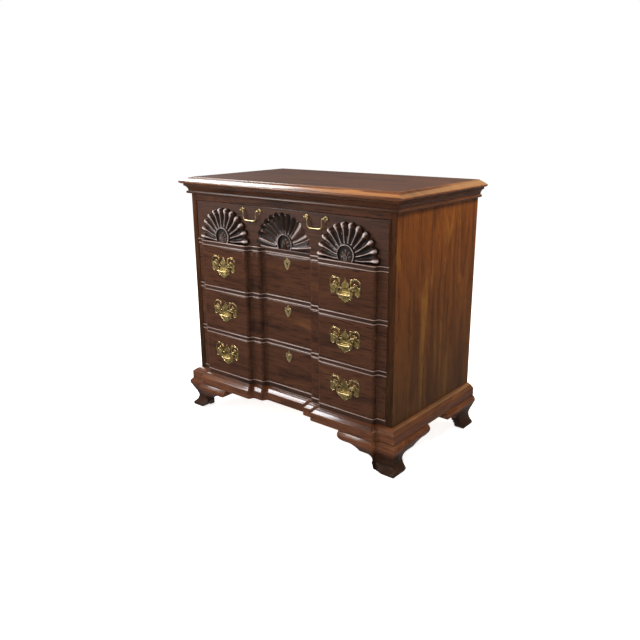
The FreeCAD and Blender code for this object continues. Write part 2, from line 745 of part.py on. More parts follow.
def bottom_z(opening):
    return opening[0] + RUN_GAP + BOTTOM_LIFT


def keyhole(z, y0, y1):
    """A round hole with a tail, from y0 back to y1."""
    eye = turned(0, z, [(y0, KEYHOLE_R), (y1, KEYHOLE_R)], FACETS)
    tail = box(-KEYHOLE_SLOT / 2, KEYHOLE_SLOT / 2, y0, y1, z - KEYHOLE_TAIL, z)
    return eye.fuse(tail)


def lock_case(opening):
    """A box lock let into the back of the front, open at the top for its bolt."""
    top = opening[1] - DRAWER_GAP
    case = box(-LOCK_W / 2, LOCK_W / 2, FRONT_BACK - LOCK_T, FRONT_BACK, top - LOCK_H, top)
    race = box(-BOLT_W / 2 - BOLT_FIT, BOLT_W / 2 + BOLT_FIT,
               bolt_y() - BOLT_T / 2 - BOLT_FIT, bolt_y() + BOLT_T / 2 + BOLT_FIT,
               top - BOLT_H, top)
    hole = keyhole(opening[1] - ESCUTCHEON_DROP, FRONT_BACK - LOCK_T, bolt_y())
    return case.cut([race, hole])


def lock_bolt(opening):
    top = opening[1] - DRAWER_GAP
    return box(-BOLT_W / 2, BOLT_W / 2, bolt_y() - BOLT_T / 2, bolt_y() + BOLT_T / 2,
               top - BOLT_H, top)


def tails(opening):
    """The dovetails of the right side, with their roots run a little way into it."""
    root = FRONT_BACK + TAIL_ROOT
    low = opening[0] + DRAWER_DROP
    pitch = (opening[1] - SIDE_TRIM - low) / TAILS
    neck = pitch * TAIL_NECK / 2
    tip = neck + TAIL_L * TAIL_SLOPE
    result = []
    for i in range(TAILS):
        middle = low + pitch * (i + 0.5)
        outline = [(FRONT_BACK - TAIL_L, middle - tip), (FRONT_BACK - TAIL_L, middle + tip),
                   (FRONT_BACK, middle + neck), (root, middle + neck),
                   (root, middle - neck), (FRONT_BACK, middle - neck)]
        wire = closed_wire([V(DRAWER_HALF - DRAWER_SIDE_T, y, z) for y, z in outline])
        result.append(Part.Face(wire).extrude(V(DRAWER_SIDE_T, 0, 0)))
    return result


def drawer_front(number, opening, pull_places):
    z0, z1 = opening[0] + DRAWER_DROP, opening[1] - DRAWER_GAP
    groove = box(-DRAWER_HALF + DRAWER_SIDE_T - GROOVE, DRAWER_HALF - DRAWER_SIDE_T + GROOVE,
                 FRONT_BACK - GROOVE, FRONT_BACK, bottom_z(opening),
                 bottom_z(opening) + DRAWER_BOTTOM_T)
    cuts = [groove]
    for x, z in pull_places:
        cuts.append(turned(x, z, [(-BLOCK_OUT - 1, SHANK_R), (FRONT_BACK + 1, SHANK_R)],
                           ROD_FACETS))
    if number == 1:
        front = box(-DRAWER_HALF, DRAWER_HALF, 0, FRONT_BACK, z0, z1)
        cuts += hollow_shell_cuts()
    else:
        front = blocked_board(z0, z1, DRAWER_HALF, FRONT_BACK)
        cuts.append(box(-LOCK_W / 2, LOCK_W / 2, FRONT_BACK - LOCK_T, FRONT_BACK,
                        z1 - LOCK_H, z1))
        cuts.append(keyhole(opening[1] - ESCUTCHEON_DROP, RECESS_DEPTH, FRONT_BACK - LOCK_T))
    sockets = tails(opening)
    cuts += sockets + [mirrored(socket) for socket in sockets]
    for tool in cuts:
        front = front.cut(tool)
    return front


def drawer_sides(opening):
    outer, inner = DRAWER_HALF, DRAWER_HALF - DRAWER_SIDE_T
    side = box(inner, outer, FRONT_BACK, DRAWER_END, opening[0] + RUN_GAP,
               opening[1] - SIDE_TRIM)
    side = side.fuse(tails(opening)).removeSplitter()
    groove = box(inner, inner + GROOVE, FRONT_BACK - GROOVE, DRAWER_END, bottom_z(opening),
                 bottom_z(opening) + DRAWER_BOTTOM_T)
    return both_sides(side.cut(groove))


def drawer_back(opening):
    inner = DRAWER_HALF - DRAWER_SIDE_T
    return box(-inner, inner, DRAWER_END - DRAWER_BACK_T, DRAWER_END,
               bottom_z(opening) + DRAWER_BOTTOM_T, opening[1] - SIDE_TRIM)


def drawer_bottom(opening):
    reach = DRAWER_HALF - DRAWER_SIDE_T + GROOVE
    return box(-reach, reach, FRONT_BACK - GROOVE, DRAWER_END, bottom_z(opening),
               bottom_z(opening) + DRAWER_BOTTOM_T)


# ---- brasses --------------------------------------------------------------------------------
def pull_place(number):
    """Where drawer number's pulls sit: middle x, spread between the posts, and z."""
    bottom, top = LEVELS[number - 1]
    if number == 1:
        return ROSETTE_X, ROSETTE_SPREAD, top - ROSETTE_DROP
    return SHELL_X, PULL_SPREAD, (bottom + top) / 2 + PULL_RISE


def pull_pivot(number):
    """The depth of the bails' pivots."""
    return -ROSETTE_PROUD if number == 1 else -BLOCK_OUT - PIVOT_PROUD


def post_places(number):
    middle, spread, z = pull_place(number)
    places = []
    for side in (-1, 1):
        for end in (-1, 1):
            places.append((side * middle + end * spread / 2, z))
    return places


def post(x, z, seat, pivot, rosette, inward):
    """A post: nut and shank behind, knob in front, bored from the bail's side."""
    shank = turned(x, z, [(FRONT_BACK + NUT_T, SHANK_R), (seat - 1, SHANK_R)], ROD_FACETS)
    nut = turned(x, z, [(FRONT_BACK + NUT_T, NUT_R), (FRONT_BACK, NUT_R)], 4)
    knob = turned(x, z, [(seat, KNOB_R * 0.7), (pivot + KNOB_R * 0.3, KNOB_R),
                         (pivot - KNOB_R * 0.7, KNOB_R * 0.65)], FACETS)
    whole = shank.fuse([nut, knob])
    if rosette:
        whole = whole.fuse(turned(x, z, [(seat, ROSETTE_R), (seat - ROSETTE_T, ROSETTE_R * 0.8)],
                                  FACETS))
    outer = V(x + inward * (KNOB_R + 1), pivot, z)
    inner = V(x - inward * (PIN_REACH + PIN_END_GAP), pivot, z)
    radius = (PIN_R + PIN_FIT) / math.cos(math.pi / ROD_FACETS)
    bore = stack([ngon(c, V(0, 0, 1), V(0, 1, 0), radius, ROD_FACETS) for c in (outer, inner)])
    return whole.cut(bore)


def posts(number):
    middle = pull_place(number)[0]
    rosette = number == 1
    seat = 0.0 if rosette else -BLOCK_OUT - PLATE_T
    solids = []
    for x, z in post_places(number):
        inward = math.copysign(1, math.copysign(middle, x) - x)
        solids.append(post(x, z, seat, pull_pivot(number), rosette, inward))
    return Part.Compound(solids)


def bail(number, side):
    """A swan-necked bail hung between two posts from the inside."""
    middle, spread, z = pull_place(number)
    half = spread / 2
    neck = LOOP_NECK if number == 1 else SWAN_NECK
    run = [(half + PIN_REACH, 0), (half - KNOB_R - 0.8, 0), (half - KNOB_R - 1.8, 0)]
    run += [(half - dx, dz) for dx, dz in neck] + [(0, LOOP_LOW if number == 1 else SWAN_LOW)]
    radii = [PIN_R, PIN_R] + [BAIL_R] * (len(run) - 2)
    points = [(side * middle + x, z + dz) for x, dz in run]
    points += [(side * middle - x, z + dz) for x, dz in reversed(run[:-1])]
    radii += list(reversed(radii[:-1]))
    return faceted_rod(points, radii, pull_pivot(number), ROD_FACETS)


def backplate(x, z):
    """A plate behind a pull, cut from sheet and pierced over its posts."""
    face = -BLOCK_OUT
    front = face - PLATE_T
    right = [(x + dx, z + dz) for dx, dz in PLATE_OUTLINE]
    left = [(x - dx, z + dz) for dx, dz in PLATE_OUTLINE[1:-1]]
    plate = front_prism(right + list(reversed(left)), front, face)
    holes = []
    for side in (-1, 1):
        holes.append(turned(x + side * PULL_SPREAD / 2, z,
                            [(front - 1, SHANK_R), (face + 1, SHANK_R)], ROD_FACETS))
        holes.append(front_prism([(x + side * dx, z + dz) for dx, dz in PLATE_CRESCENT],
                                 front - 1, face + 1))
    return plate.cut(holes)


def escutcheon(opening):
    """The keyhole's plate in the recess."""
    z = opening[1] - ESCUTCHEON_DROP
    front = RECESS_DEPTH - PLATE_T
    right = [(dx * ESCUTCHEON_W, z + dz * ESCUTCHEON_H) for dx, dz in ESCUTCHEON_OUTLINE]
    left = [(-dx, up) for dx, up in right[1:-1]]
    plate = front_prism(right + list(reversed(left)), front, RECESS_DEPTH)
    return plate.cut(keyhole(z, front - 1, RECESS_DEPTH + 1))


def plates(number):
    middle, spread, z = pull_place(number)
    return Part.Compound([backplate(-middle, z), backplate(middle, z),
                          escutcheon(LEVELS[number - 1])])


# ---- the nodes ------------------------------------------------------------------------------
def case_nodes():
    side = case_side()
    right_front, right_back = foot_front(), foot_back()
    nodes = {
        "top_board": top_board(),
        "bed_moulding_front": bed_moulding_front(),
        "bed_moulding_returns": bed_moulding_returns(),
        "case_side_left": mirrored(side),
        "case_side_right": side,
        "top_rails": top_rails(),
        "back_panel": back_panel(),
        "bottom_board": bottom_board(),
        "bottom_rail": beaded_rail(CASE_Z, BOTTOM_RAIL_H, False),
        "drawer_runners": drawer_runners(),
        "base_moulding_front": base_moulding_front(),
        "base_moulding_returns": base_moulding_returns(),
        "base_frame_back": base_frame_back(),
        "foot_front_left": mirrored(right_front),
        "foot_front_right": right_front,
        "foot_back_left": mirrored(right_back),
        "foot_back_right": right_back,
        "foot_glue_blocks": foot_glue_blocks(),
    }
    for number in (1, 2, 3):
        nodes["divider_%d" % number] = divider(number)
    return nodes


def drawer_nodes(number):
    opening = LEVELS[number - 1]
    name = "drawer_%d_" % number
    nodes = {
        name + "front": drawer_front(number, opening, post_places(number)),
        name + "sides": drawer_sides(opening),
        name + "back": drawer_back(opening),
        name + "bottom": drawer_bottom(opening),
        name + "posts": posts(number),
        name + "bail_left": bail(number, -1),
        name + "bail_right": bail(number, 1),
    }
    if number == 1:
        nodes["shells_convex"] = both_sides(convex_shell())
    else:
        nodes[name + "plates"] = plates(number)
        nodes[name + "lock_case"] = lock_case(opening)
        nodes[name + "lock_bolt"] = lock_bolt(opening)
    return nodes


def main():
    os.makedirs("parts", exist_ok=True)
    nodes = case_nodes()
    for number in (1, 2, 3, 4):
        nodes.update(drawer_nodes(number))
    for name, shape in nodes.items():
        shape.translate(V(0, -CENTRE_Y, 0))
        shape.exportStep("parts/%s.step" % name)


main()
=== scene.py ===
import json
import math

import bpy
from mathutils import Matrix, Vector


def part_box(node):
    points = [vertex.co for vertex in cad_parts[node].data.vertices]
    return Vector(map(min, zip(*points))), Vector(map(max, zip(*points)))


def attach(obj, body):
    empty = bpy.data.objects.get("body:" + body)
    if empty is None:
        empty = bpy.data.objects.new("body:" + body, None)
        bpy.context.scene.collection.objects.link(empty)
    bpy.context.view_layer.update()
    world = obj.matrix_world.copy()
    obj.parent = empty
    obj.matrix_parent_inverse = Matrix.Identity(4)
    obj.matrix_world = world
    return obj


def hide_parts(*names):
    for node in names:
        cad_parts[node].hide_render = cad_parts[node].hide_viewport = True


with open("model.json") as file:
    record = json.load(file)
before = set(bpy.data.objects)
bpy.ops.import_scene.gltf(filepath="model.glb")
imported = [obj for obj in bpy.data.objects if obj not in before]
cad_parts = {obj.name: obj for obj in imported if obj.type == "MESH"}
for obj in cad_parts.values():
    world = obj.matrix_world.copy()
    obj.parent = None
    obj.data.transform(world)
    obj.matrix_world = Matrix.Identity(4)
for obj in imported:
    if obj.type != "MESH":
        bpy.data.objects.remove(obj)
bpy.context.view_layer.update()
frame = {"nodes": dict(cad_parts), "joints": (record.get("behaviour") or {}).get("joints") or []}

bl_info = {
    "name": "Block front chest",
    "version": (1, 0, 0),
    "blender": (4, 5, 0),
    "location": "View3D > Sidebar > Chest",
    "description": "Builds a block front chest of drawers piece by piece around its packed frame",
    "category": "Object",
}

# ---- places read from the frame -----------------------------------------------------------
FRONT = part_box("top_rails")[0].y
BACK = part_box("back_panel")[1].y
HALF_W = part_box("case_side_right")[1].x
OPENING_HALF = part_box("case_side_right")[0].x
FOOT_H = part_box("foot_front_right")[1].z
TOP_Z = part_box("top_board")[0].z
BED_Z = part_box("bed_moulding_front")[0].z
DRAWERS = (1, 2, 3, 4)
SIDES = {"left": -1, "right": 1}

# ---- sizes that the frame doesn't give, in metres -------------------------------------------
MM = 0.001
MERGE = 1e-6            # points nearer than this are one
PAST = 0.01             # how far a cutting solid runs past a face
FLAT_AREA = 0.0035      # a face as big as this is a flat
# edges sharper than this, in degrees, stay sharp when a piece is shaded, or are rounded by soften
SHARP_ANGLE, CARVED_ANGLE, PULL_ANGLE, ARRIS_ANGLE = 32, 50, 50, 40
BOARD_ARRIS, FRONT_ARRIS, FOOT_ARRIS, GLUE_BLOCK_ARRIS = 0.0010, 0.0012, 0.0008, 0.0020
BLOCK_IN = 0.0705       # from the case's side to the flat of the block
# a rail's own face and its beads' crests from the case's face, and the width of a bead
BEAD_SUNK, BEAD_PROUD, BEAD_W = -0.0008, 0.0016, 0.0048
# a lock bolt's mortise: half its width, its front and back from the case's face, and its height
MORTISE_HALF, MORTISE_FRONT, MORTISE_BACK, MORTISE_H = 0.012, 0.0235, 0.0325, 0.010
BASE_CHAMFER, BASE_MEMBER = 0.0015, 0.070
DRAWER_SIDE_T, FRONT_T = 0.012, 0.033
TAILS = 3               # dovetails that join a drawer's side to its front
TAIL_NECK = 0.58        # a tail's share of its pitch at its neck
TAIL_SLOPE = 1 / 7
KEYHOLE_DROP = 0.029    # the eye's middle below the rail over it
KEYHOLE_EYE, KEYHOLE_HALF, KEYHOLE_TAIL, KEYHOLE_DEPTH = 0.0036, 0.0015, 0.013, 0.025
SHANK_R, SHANK_PAST = 0.0025, 0.004
PETAL = 0.16            # how deep a rosette's petals are cut, as a share of its radius


def mm(*pairs):
    """Points typed in millimetres, in metres."""
    return [tuple(value * MM for value in pair) for pair in pairs]


# ---- outlines, in millimetres: (projection, height) up a moulding --------------------------
TOP_EDGE = mm((21, 0), (28, 1.6), (31.6, 4.2), (33, 6.4), (32.8, 8.4), (30.6, 10.4), (26, 12.7),
              (18.5, 16.1), (11, 19.3), (3, 22.4))
TOP_STEP = mm((2.4, 23.4), (1.2, 24))
BED_COVE = mm((8.5, 12), (9.2, 16.5), (11.2, 21.4), (15, 26), (20.5, 29))
BED_BEAD = mm((11, 1.5), (13.2, 3.0), (13.9, 6.5), (12.4, 10.2), (8.5, 12))
BASE_EDGE = mm((26, 1.5), (26, 25.5), (24.9, 31), (20, 35), (13, 40.5), (6, 43.6), (0.5, 45.5))
OGEE = mm((23, 0), (26.4, 1.8), (28.4, 6), (27.8, 12.5), (20.5, 20.5), (14.6, 29), (12.5, 42),
          (17.5, 59), (24, 72), (30, 85), (34, 93), (35.2, 99), (33.6, 106), (27, 114))
# (along the front, down from the top of the foot): the wing, the leg and the leg's rounded toe
WING = mm((0, 0), (2.5, 16), (12, 27), (31, 29.2), (51, 29), (70, 37), (80, 46), (83, 50))
LEG = mm((12, 50), (2, 55), (-1, 66), (0, 82))
SIDE_TOE = mm((0, 90), (-3.5, 104), (-8, 110), (-14, 114.5))
FRONT_TOE = mm((-2.5, 86), (-8, 94), (-15.5, 101), (-24, 106.5), (-33, 111), (-43, 114.5))
# (x, z) from a plate's middle, down its right half; the round piercings are (x, z, radius)
PLATE = mm((0, 25), (4, 18), (8.5, 11.5), (15, 5.5), (16.8, 2), (14.5, -1.5), (11.5, -4),
           (13, -6.5), (17, -7), (20.4, -4), (21.8, 2), (19.8, 8.6), (18, 13), (17.8, 18),
           (20.5, 22), (24, 22), (27.6, 24.6), (31.4, 23.4), (36, 26.2), (41.6, 25.4), (46, 26.6),
           (52, 23.4), (57.6, 18), (60.6, 10), (61.5, 0), (60, -7), (58, -12), (59, -18),
           (57.5, -25), (52.5, -29.5), (46, -30), (40, -27), (37, -22), (38.5, -17), (42.5, -13.6),
           (38, -12), (33.5, -12.4), (31.6, -15.4), (32.2, -21), (31, -28), (28, -33),
           (30.2, -35.6), (25.6, -38), (22.4, -43), (16.4, -44), (12, -49), (5.6, -51), (0, -56))
CRESCENT = mm((23.6, 1.6), (25, 10.5), (30.4, 17.4), (40, 20.8), (50, 17.6), (55.8, 10.5),
              (57.2, 1.6), (51.6, -0.6), (49, 3), (46, 7.8), (39, 10.6), (32, 7.8), (29, 3),
              (26.8, -0.6))
SIDE_PIERCING = mm((18, -12), (23.4, -10.6), (28, -13.4), (27.4, -17.6), (22.6, -18.4), (19, -16))
PENDANT_PIERCINGS = mm((13, -34.5, 2.6), (11.5, -22.5, 2.2))
ESCUTCHEON = mm((0, 22), (4.2, 16.7), (7.5, 11), (11, 11.4), (13.2, 9.7), (15, 5), (14.4, -1),
                (11.4, -6.2), (9.3, -13.2), (5.1, -18), (0, -22))
# (in from the post, up) along half a bail: its pin, then from the bend down to the middle
BAIL_PIN = mm((-0.7, 0), (5.2, 0), (6.6, -0.3), (7.2, -0.6))
LOOP_BAIL = mm((10, -4), (10, -14), (11, -26), (18, -33), (40, -34))
SWAN_BAIL = mm((13, -4), (14.5, -10.5), (12, -20.5), (16, -28), (39, -29.3))
# (out, radius) of a post's head, of the rosette behind it and of a nut
KNOB = mm((0, 3.4), (1.6, 3.0), (2.6, 4.4), (5.2, 5.0), (7.6, 4.7), (9.8, 3.2), (10.4, 1.4))
ROSETTE = mm((0, 9.6), (0.8, 10), (1.8, 9), (1.2, 7.2), (2.0, 5.6), (1.4, 4.4), (2.6, 3.4))
ROSETTE_T = 3.4 * MM
NUT = mm((0, 0), (0, 5.5), (0.6, 6), (4, 6), (4, 0))


def length_setting(name, description, default):
    """A length that a user can change."""
    return bpy.props.FloatProperty(name=name, description=description, default=default,
                                   unit="LENGTH")


def colour_setting(name, description, default):
    """A colour that a user can change."""
    return bpy.props.FloatVectorProperty(name=name, description=description, default=default,
                                         subtype="COLOR", size=3, min=0, max=1)


class ChestBlocking(bpy.types.PropertyGroup):
    """Plan of the blocked front: half widths from the middle and depths from the case."""

    recess_half: length_setting("Recess half width", "Half the flat of the sunk field", 0.100)
    recess_sweep: length_setting("Recess sweep", "Width of the curve out of the sunk field",
                                 0.024)
    recess_depth: length_setting("Recess depth", "Depth of the sunk field", 0.019)
    block_inner: length_setting("Block start", "Where each block starts, from the middle", 0.150)
    block_inner_sweep: length_setting("Inner sweep", "Width of each block's inner curve", 0.022)
    block_outer: length_setting("Block end", "Where each block's outer curve starts",
                                HALF_W - BLOCK_IN)
    block_outer_sweep: length_setting("Outer sweep", "Width of each block's outer curve", 0.020)
    block_out: length_setting("Block height", "How far the blocks stand out", 0.019)
    shift: bpy.props.FloatProperty(
        name="Step shift", description="How far a moulding carries the curves outward",
        default=0.72)
    chords: bpy.props.IntProperty(
        name="Chords", description="Flats along each arc of a curve", default=7, min=2)


class ChestCarving(bpy.types.PropertyGroup):
    """Sizes of the carved shells."""

    radius: length_setting("Shell radius", "From the shell's foot to where its lobes round off",
                           0.105)
    lobes: bpy.props.IntProperty(
        name="Lobes", description="Lobes round a raised shell", default=12, min=3)
    lobe_radius: length_setting("Lobe radius", "Roundness of a lobe's end", 0.0133)
    hollow_radius: length_setting("Hollow shell radius", "Radius of the sunk shell", 0.110)
    hollows: bpy.props.IntProperty(
        name="Hollows", description="Flutes round the sunk shell", default=13, min=3)
    hollow_lobe_radius: length_setting("Flute radius", "Roundness of a flute's end", 0.014)
    foot: length_setting("Shell foot", "Centre of the outline above the drawer's opening", 0.004)
    ring_height: length_setting("Ring height", "Centre of the ring above the drawer's opening",
                                0.021)
    ring_radius: length_setting("Ring radius", "Outside radius of the ring", 0.0335)
    ring_width: length_setting("Ring width", "Width of the ring's bead", 0.0042)


class ChestBrass(bpy.types.PropertyGroup):
    """Sizes of the pulls and plates."""

    plate: length_setting("Plate", "Thickness of the plates", 0.0016)
    rod: length_setting("Bail radius", "Radius of a bail at its middle", 0.0025)
    pin: length_setting("Pin radius", "Radius of the pins that hang a bail", 0.0015)


class ChestFinish(bpy.types.PropertyGroup):
    """Colours of the finishes."""

    dark: colour_setting("Dark grain", "Darkest colour of the polished wood",
                         (0.014, 0.0044, 0.0020))
    red: colour_setting("Red grain", "Main colour of the polished wood",
                        (0.065, 0.0230, 0.0095))
    side: colour_setting("Side grain", "Main colour of the case's sides",
                         (0.138, 0.043, 0.0072))
    amber: colour_setting("Amber grain", "Lightest colour of the polished wood",
                          (0.140, 0.052, 0.0160))
    # near black for the carving's hollows and the rails' quirks: grime of old finish and painted
    # shade
    hollow_grime_and_shade: colour_setting("Hollows", "Colour left in the hollows of the carving",
                           (0.0045, 0.0024, 0.0018))
    # pale for the carving's crests: rubbing, with a painted highlight
    rubbed: colour_setting("Rubbed edges", "Colour of the carving's rubbed ridges",
                           (0.58, 0.50, 0.49))
    # pale for the rails' bead crests: rubbing, with a painted highlight
    bead: colour_setting("Rubbed beads", "Colour of the rails' rubbed beads",
                         (0.42, 0.30, 0.26))
    poplar: colour_setting("Inner wood", "Colour of the unfinished inner wood",
                           (0.42, 0.27, 0.14))
    brass: colour_setting("Brass", "Colour of the polished brass", (0.78, 0.62, 0.32))
    # brown for the brasses' sunk fields: aged oxide and a painted dark reflection
    patina_and_dark_reflection: colour_setting("Patina", "Colour of the brasses' sunk fields", (0.66, 0.52, 0.20))


# ---- modelling helpers ----------------------------------------------------------------------
def clear_selection():
    """Object mode with nothing selected."""
    if bpy.context.object and bpy.context.object.mode != "OBJECT":
        bpy.ops.object.mode_set(mode="OBJECT")
    bpy.ops.object.select_all(action="DESELECT")


def pick(piece):
    """Only the piece is selected and active."""
    clear_selection()
    piece.select_set(True)
    bpy.context.view_layer.objects.active = piece


def smooth(points, steps):
    """The points with steps - 1 more between each two, on a curve through them all."""
    points = [Vector(p) for p in points]
    result = []
    last = len(points) - 1
    for i in range(last):
        a, b = points[max(i - 1, 0)], points[i]
        c, d = points[i + 1], points[min(i + 2, last)]
        for k in range(steps):
            t = k / steps
            result.append(0.5 * (2 * b + (c - a) * t + (2 * a - 5 * b + 4 * c - d) * t ** 2
                                 + (3 * b - a - 3 * c + d) * t ** 3))
    return result + [points[-1]]


def edit_all():
    """Edit mode with everything of the active piece selected."""
    bpy.ops.object.mode_set(mode="EDIT")
    bpy.ops.mesh.select_all(action="SELECT")


def face_outward():
    """Turns the selected faces outward and leaves edit mode."""
    bpy.ops.mesh.normals_make_consistent(inside=False)
    bpy.ops.object.mode_set(mode="OBJECT")


def add_wear_and_painted_light(piece):
    """A new value for each point, for painted light and rubbing: 1 is a crest painted pale as a
    highlight over rubbing and -1 is grime and painted shade in the hollows.
    """
    return piece.data.attributes.new("wear", "FLOAT", "POINT")


def with_wear_and_painted_light(point, wear):
    """The point with its value of painted light and rubbing as a fourth value."""
    return Vector((*point, wear))


def field(name, rows_of_points):
    """An open surface through rows of points, which may carry a value of painted light and rubbing
    as a fourth value.
    """
    clear_selection()
    columns, rows = len(rows_of_points[0]) - 1, len(rows_of_points) - 1
    bpy.ops.mesh.primitive_grid_add(x_subdivisions=columns, y_subdivisions=rows, size=2)
    piece = bpy.context.object
    piece.name = name
    wear = add_wear_and_painted_light(piece) if len(rows_of_points[0][0]) == 4 else None
    for vertex in piece.data.vertices:
        i = round((vertex.co.x + 1) * columns / 2)
        j = round((vertex.co.y + 1) * rows / 2)
        point = rows_of_points[j][i]
        vertex.co = point[:3]
        if wear:
            wear.data[vertex.index].value = point[3]
    edit_all()
    bpy.ops.mesh.remove_doubles(threshold=MERGE)
    bpy.ops.object.mode_set(mode="OBJECT")
    return piece


def swept(name, sections):
    """A solid through closed sections of as many points each."""
    piece = field(name, [[*section, section[0]] for section in sections])
    edit_all()
    bpy.ops.mesh.fill_holes(sides=0)
    face_outward()
    return piece


def close_at(piece, y):
    """Walls from an open surface's edge to the plane at y, and the flat face there."""
    pick(piece)
    bpy.ops.object.mode_set(mode="EDIT")
    bpy.ops.mesh.select_mode(type="EDGE")
    bpy.ops.mesh.select_all(action="DESELECT")
    bpy.ops.mesh.select_non_manifold()
    bpy.ops.mesh.extrude_edges_move(TRANSFORM_OT_translate={"value": (0, 0, 0)})
    bpy.ops.object.mode_set(mode="OBJECT")
    for vertex in piece.data.vertices:
        if vertex.select:
            vertex.co.y = y
    bpy.ops.object.mode_set(mode="EDIT")
    bpy.ops.mesh.edge_face_add()
    bpy.ops.mesh.select_mode(type="VERT")
    bpy.ops.mesh.select_all(action="SELECT")
    face_outward()


def prism(name, outline, depth):
    """A solid from a flat closed outline of 3D points, pushed along depth."""
    depth = Vector(depth)
    return swept(name, [outline, [p + depth for p in outline]])


def block(name, low, high):
    """A square-edged piece between two corners."""
    clear_selection()
    low, high = Vector(low), Vector(high)
    bpy.ops.mesh.primitive_cube_add(size=1, location=(low + high) / 2)
    bpy.ops.transform.resize(value=high - low)
    piece = bpy.context.object
    piece.name = name
    bpy.ops.object.transform_apply(location=True, rotation=True, scale=True)
    return piece


def joined(pieces):
    """The pieces made one."""
    pick(pieces[0])
    for piece in pieces[1:]:
        piece.select_set(True)
    bpy.ops.object.join()
    return bpy.context.object


def cut(piece, tool, operation="DIFFERENCE"):
    """Cuts piece with tool, and takes the tool away."""
    pick(piece)
    bpy.ops.object.modifier_add(type="BOOLEAN")
    modifier = piece.modifiers[-1]
    modifier.operation = operation
    modifier.solver = "EXACT"
    modifier.object = tool
    bpy.ops.object.modifier_apply(modifier=modifier.name)
    bpy.data.objects.remove(tool)
    return piece


def soften(piece, width):
    """Takes the sharp arrises off."""
    pick(piece)
    bpy.ops.object.modifier_add(type="BEVEL")
    modifier = piece.modifiers[-1]
    modifier.width = width
    modifier.segments = 2
    modifier.limit_method = "ANGLE"
    modifier.angle_limit = math.radians(ARRIS_ANGLE)
    bpy.ops.object.modifier_apply(modifier=modifier.name)
    return piece


def mirror_copy(piece, name):
    """A copy on the other side of the chest's middle."""
    pick(piece)
    bpy.ops.object.duplicate()
    twin = bpy.context.object
    twin.name = name
    for vertex in twin.data.vertices:
        vertex.co.x = -vertex.co.x
    edit_all()
    bpy.ops.mesh.flip_normals()
    bpy.ops.object.mode_set(mode="OBJECT")
    return twin


def coat(piece, finish):
    """The piece gets the finish of that name, and no other."""
    piece.data.materials.clear()
    piece.data.materials.append(finish_named(finish))


def dress(name, finish):
    """A frame node that keeps its shape gets its finish."""
    coat(frame["nodes"][name], finish)


def done(piece, body, finish, slot, replaced, angle=SHARP_ANGLE):
    """Shades a finished piece, gives it its finish and its place in the frame.

    Faces as big as FLAT_AREA stay flat to their edges.
    """
    pick(piece)
    bpy.ops.object.shade_smooth_by_angle(angle=math.radians(angle))
    for face in piece.data.polygons:
        if face.area > FLAT_AREA:
            face.use_smooth = False
    coat(piece, finish)
    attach(piece, body)
    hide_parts(replaced)


def done_with_twin(piece, twin_name, *place):
    """The piece and its mirror image, both done in the same way."""
    for each in (piece, mirror_copy(piece, twin_name)):
        done(each, *place)


# ---- finishes -------------------------------------------------------------------------------
GRAIN_TURN = {"X": (0, 0, 0), "Y": (0, 0, math.radians(-90)), "Z": (0, math.radians(90), 0)}
# (axis, where a painted shade starts, where it is full, what it multiplies the colour by)
# painted shade on a case side: its front edge as dark as the shaded drawers beside it, and the side
# darker and bluer towards its foot, a painted shade with a painted sheen
STILE_PAINTED_SHADES = (("Y", FRONT + 0.0015, FRONT + 0.0005, (0.42, 0.40, 0.42)),
                ("Z", 0.75, 0.20, (0.58, 0.76, 1.15)))
# painted shade on a foot, darker towards the floor
FOOT_PAINTED_SHADES = (("Z", 0.092, 0.066, (0.30, 0.36, 0.42)),)
STILE_AMBER = (1.45, 1.85, 1.7)
GROUND = 0.52           # the middle of the figure's tones


def shader(name):
    """The node tree and the surface shader of a new material."""
    material = bpy.data.materials.new(name)
    material.use_nodes = True
    return material.node_tree, material.node_tree.nodes["Principled BSDF"]


def given(made, **values):
    """The node with these values in its sockets and settings."""
    for key, value in values.items():
        if key in made.inputs:
            made.inputs[key].default_value = value
        else:
            setattr(made, key, value)
    return made


def node(tree, kind, **values):
    """A new node with these values."""
    return given(tree.nodes.new(kind), **values)


def ramp(tree, source, stops):
    """A colour ramp fed by source, with (place, colour) stops."""
    made = tree.nodes.new("ShaderNodeValToRGB")
    elements = made.color_ramp.elements
    while len(elements) < len(stops):
        elements.new(0.5)
    for element, (place, colour) in zip(elements, stops):
        element.position = place
        element.color = (*colour, 1.0)
    tree.links.new(source, made.inputs["Fac"])
    return made.outputs["Color"]


def mixed(tree, factor, first, second, blend="MIX"):
    """The two colours mixed by factor, each of the three a value or a socket."""
    made = tree.nodes.new("ShaderNodeMix")
    made.data_type = "RGBA"
    made.blend_type = blend
    for socket, value in (("Factor", factor), ("A", first), ("B", second)):
        place = [s for s in made.inputs if s.name == socket and s.enabled][0]
        if isinstance(value, bpy.types.NodeSocket):
            tree.links.new(value, place)
        elif socket == "Factor":
            place.default_value = value
        else:
            place.default_value = (*value, 1.0)
    return [s for s in made.outputs if s.enabled][0]


def object_space(tree):
    """The object's own coordinates."""
    return node(tree, "ShaderNodeTexCoord").outputs["Object"]


def noise(tree, space, **values):
    """Noise from 0 to 1 over a space."""
    made = node(tree, "ShaderNodeTexNoise", **values)
    tree.links.new(space, made.inputs["Vector"])
    return made.outputs["Fac"]


def ranged(tree, source, before, after=(0.0, 1.0)):
    """The source's value, taken from one range to another."""
    made = node(tree, "ShaderNodeMapRange", **{"From Min": before[0], "From Max": before[1],
                                               "To Min": after[0], "To Max": after[1]})
    tree.links.new(source, made.inputs["Value"])
    return made.outputs["Result"]


def wear_and_painted_light_of(tree):
    """The value of painted light and rubbing at each point: higher is paler, lower is darker."""
    return node(tree, "ShaderNodeAttribute", attribute_name="wear").outputs["Fac"]


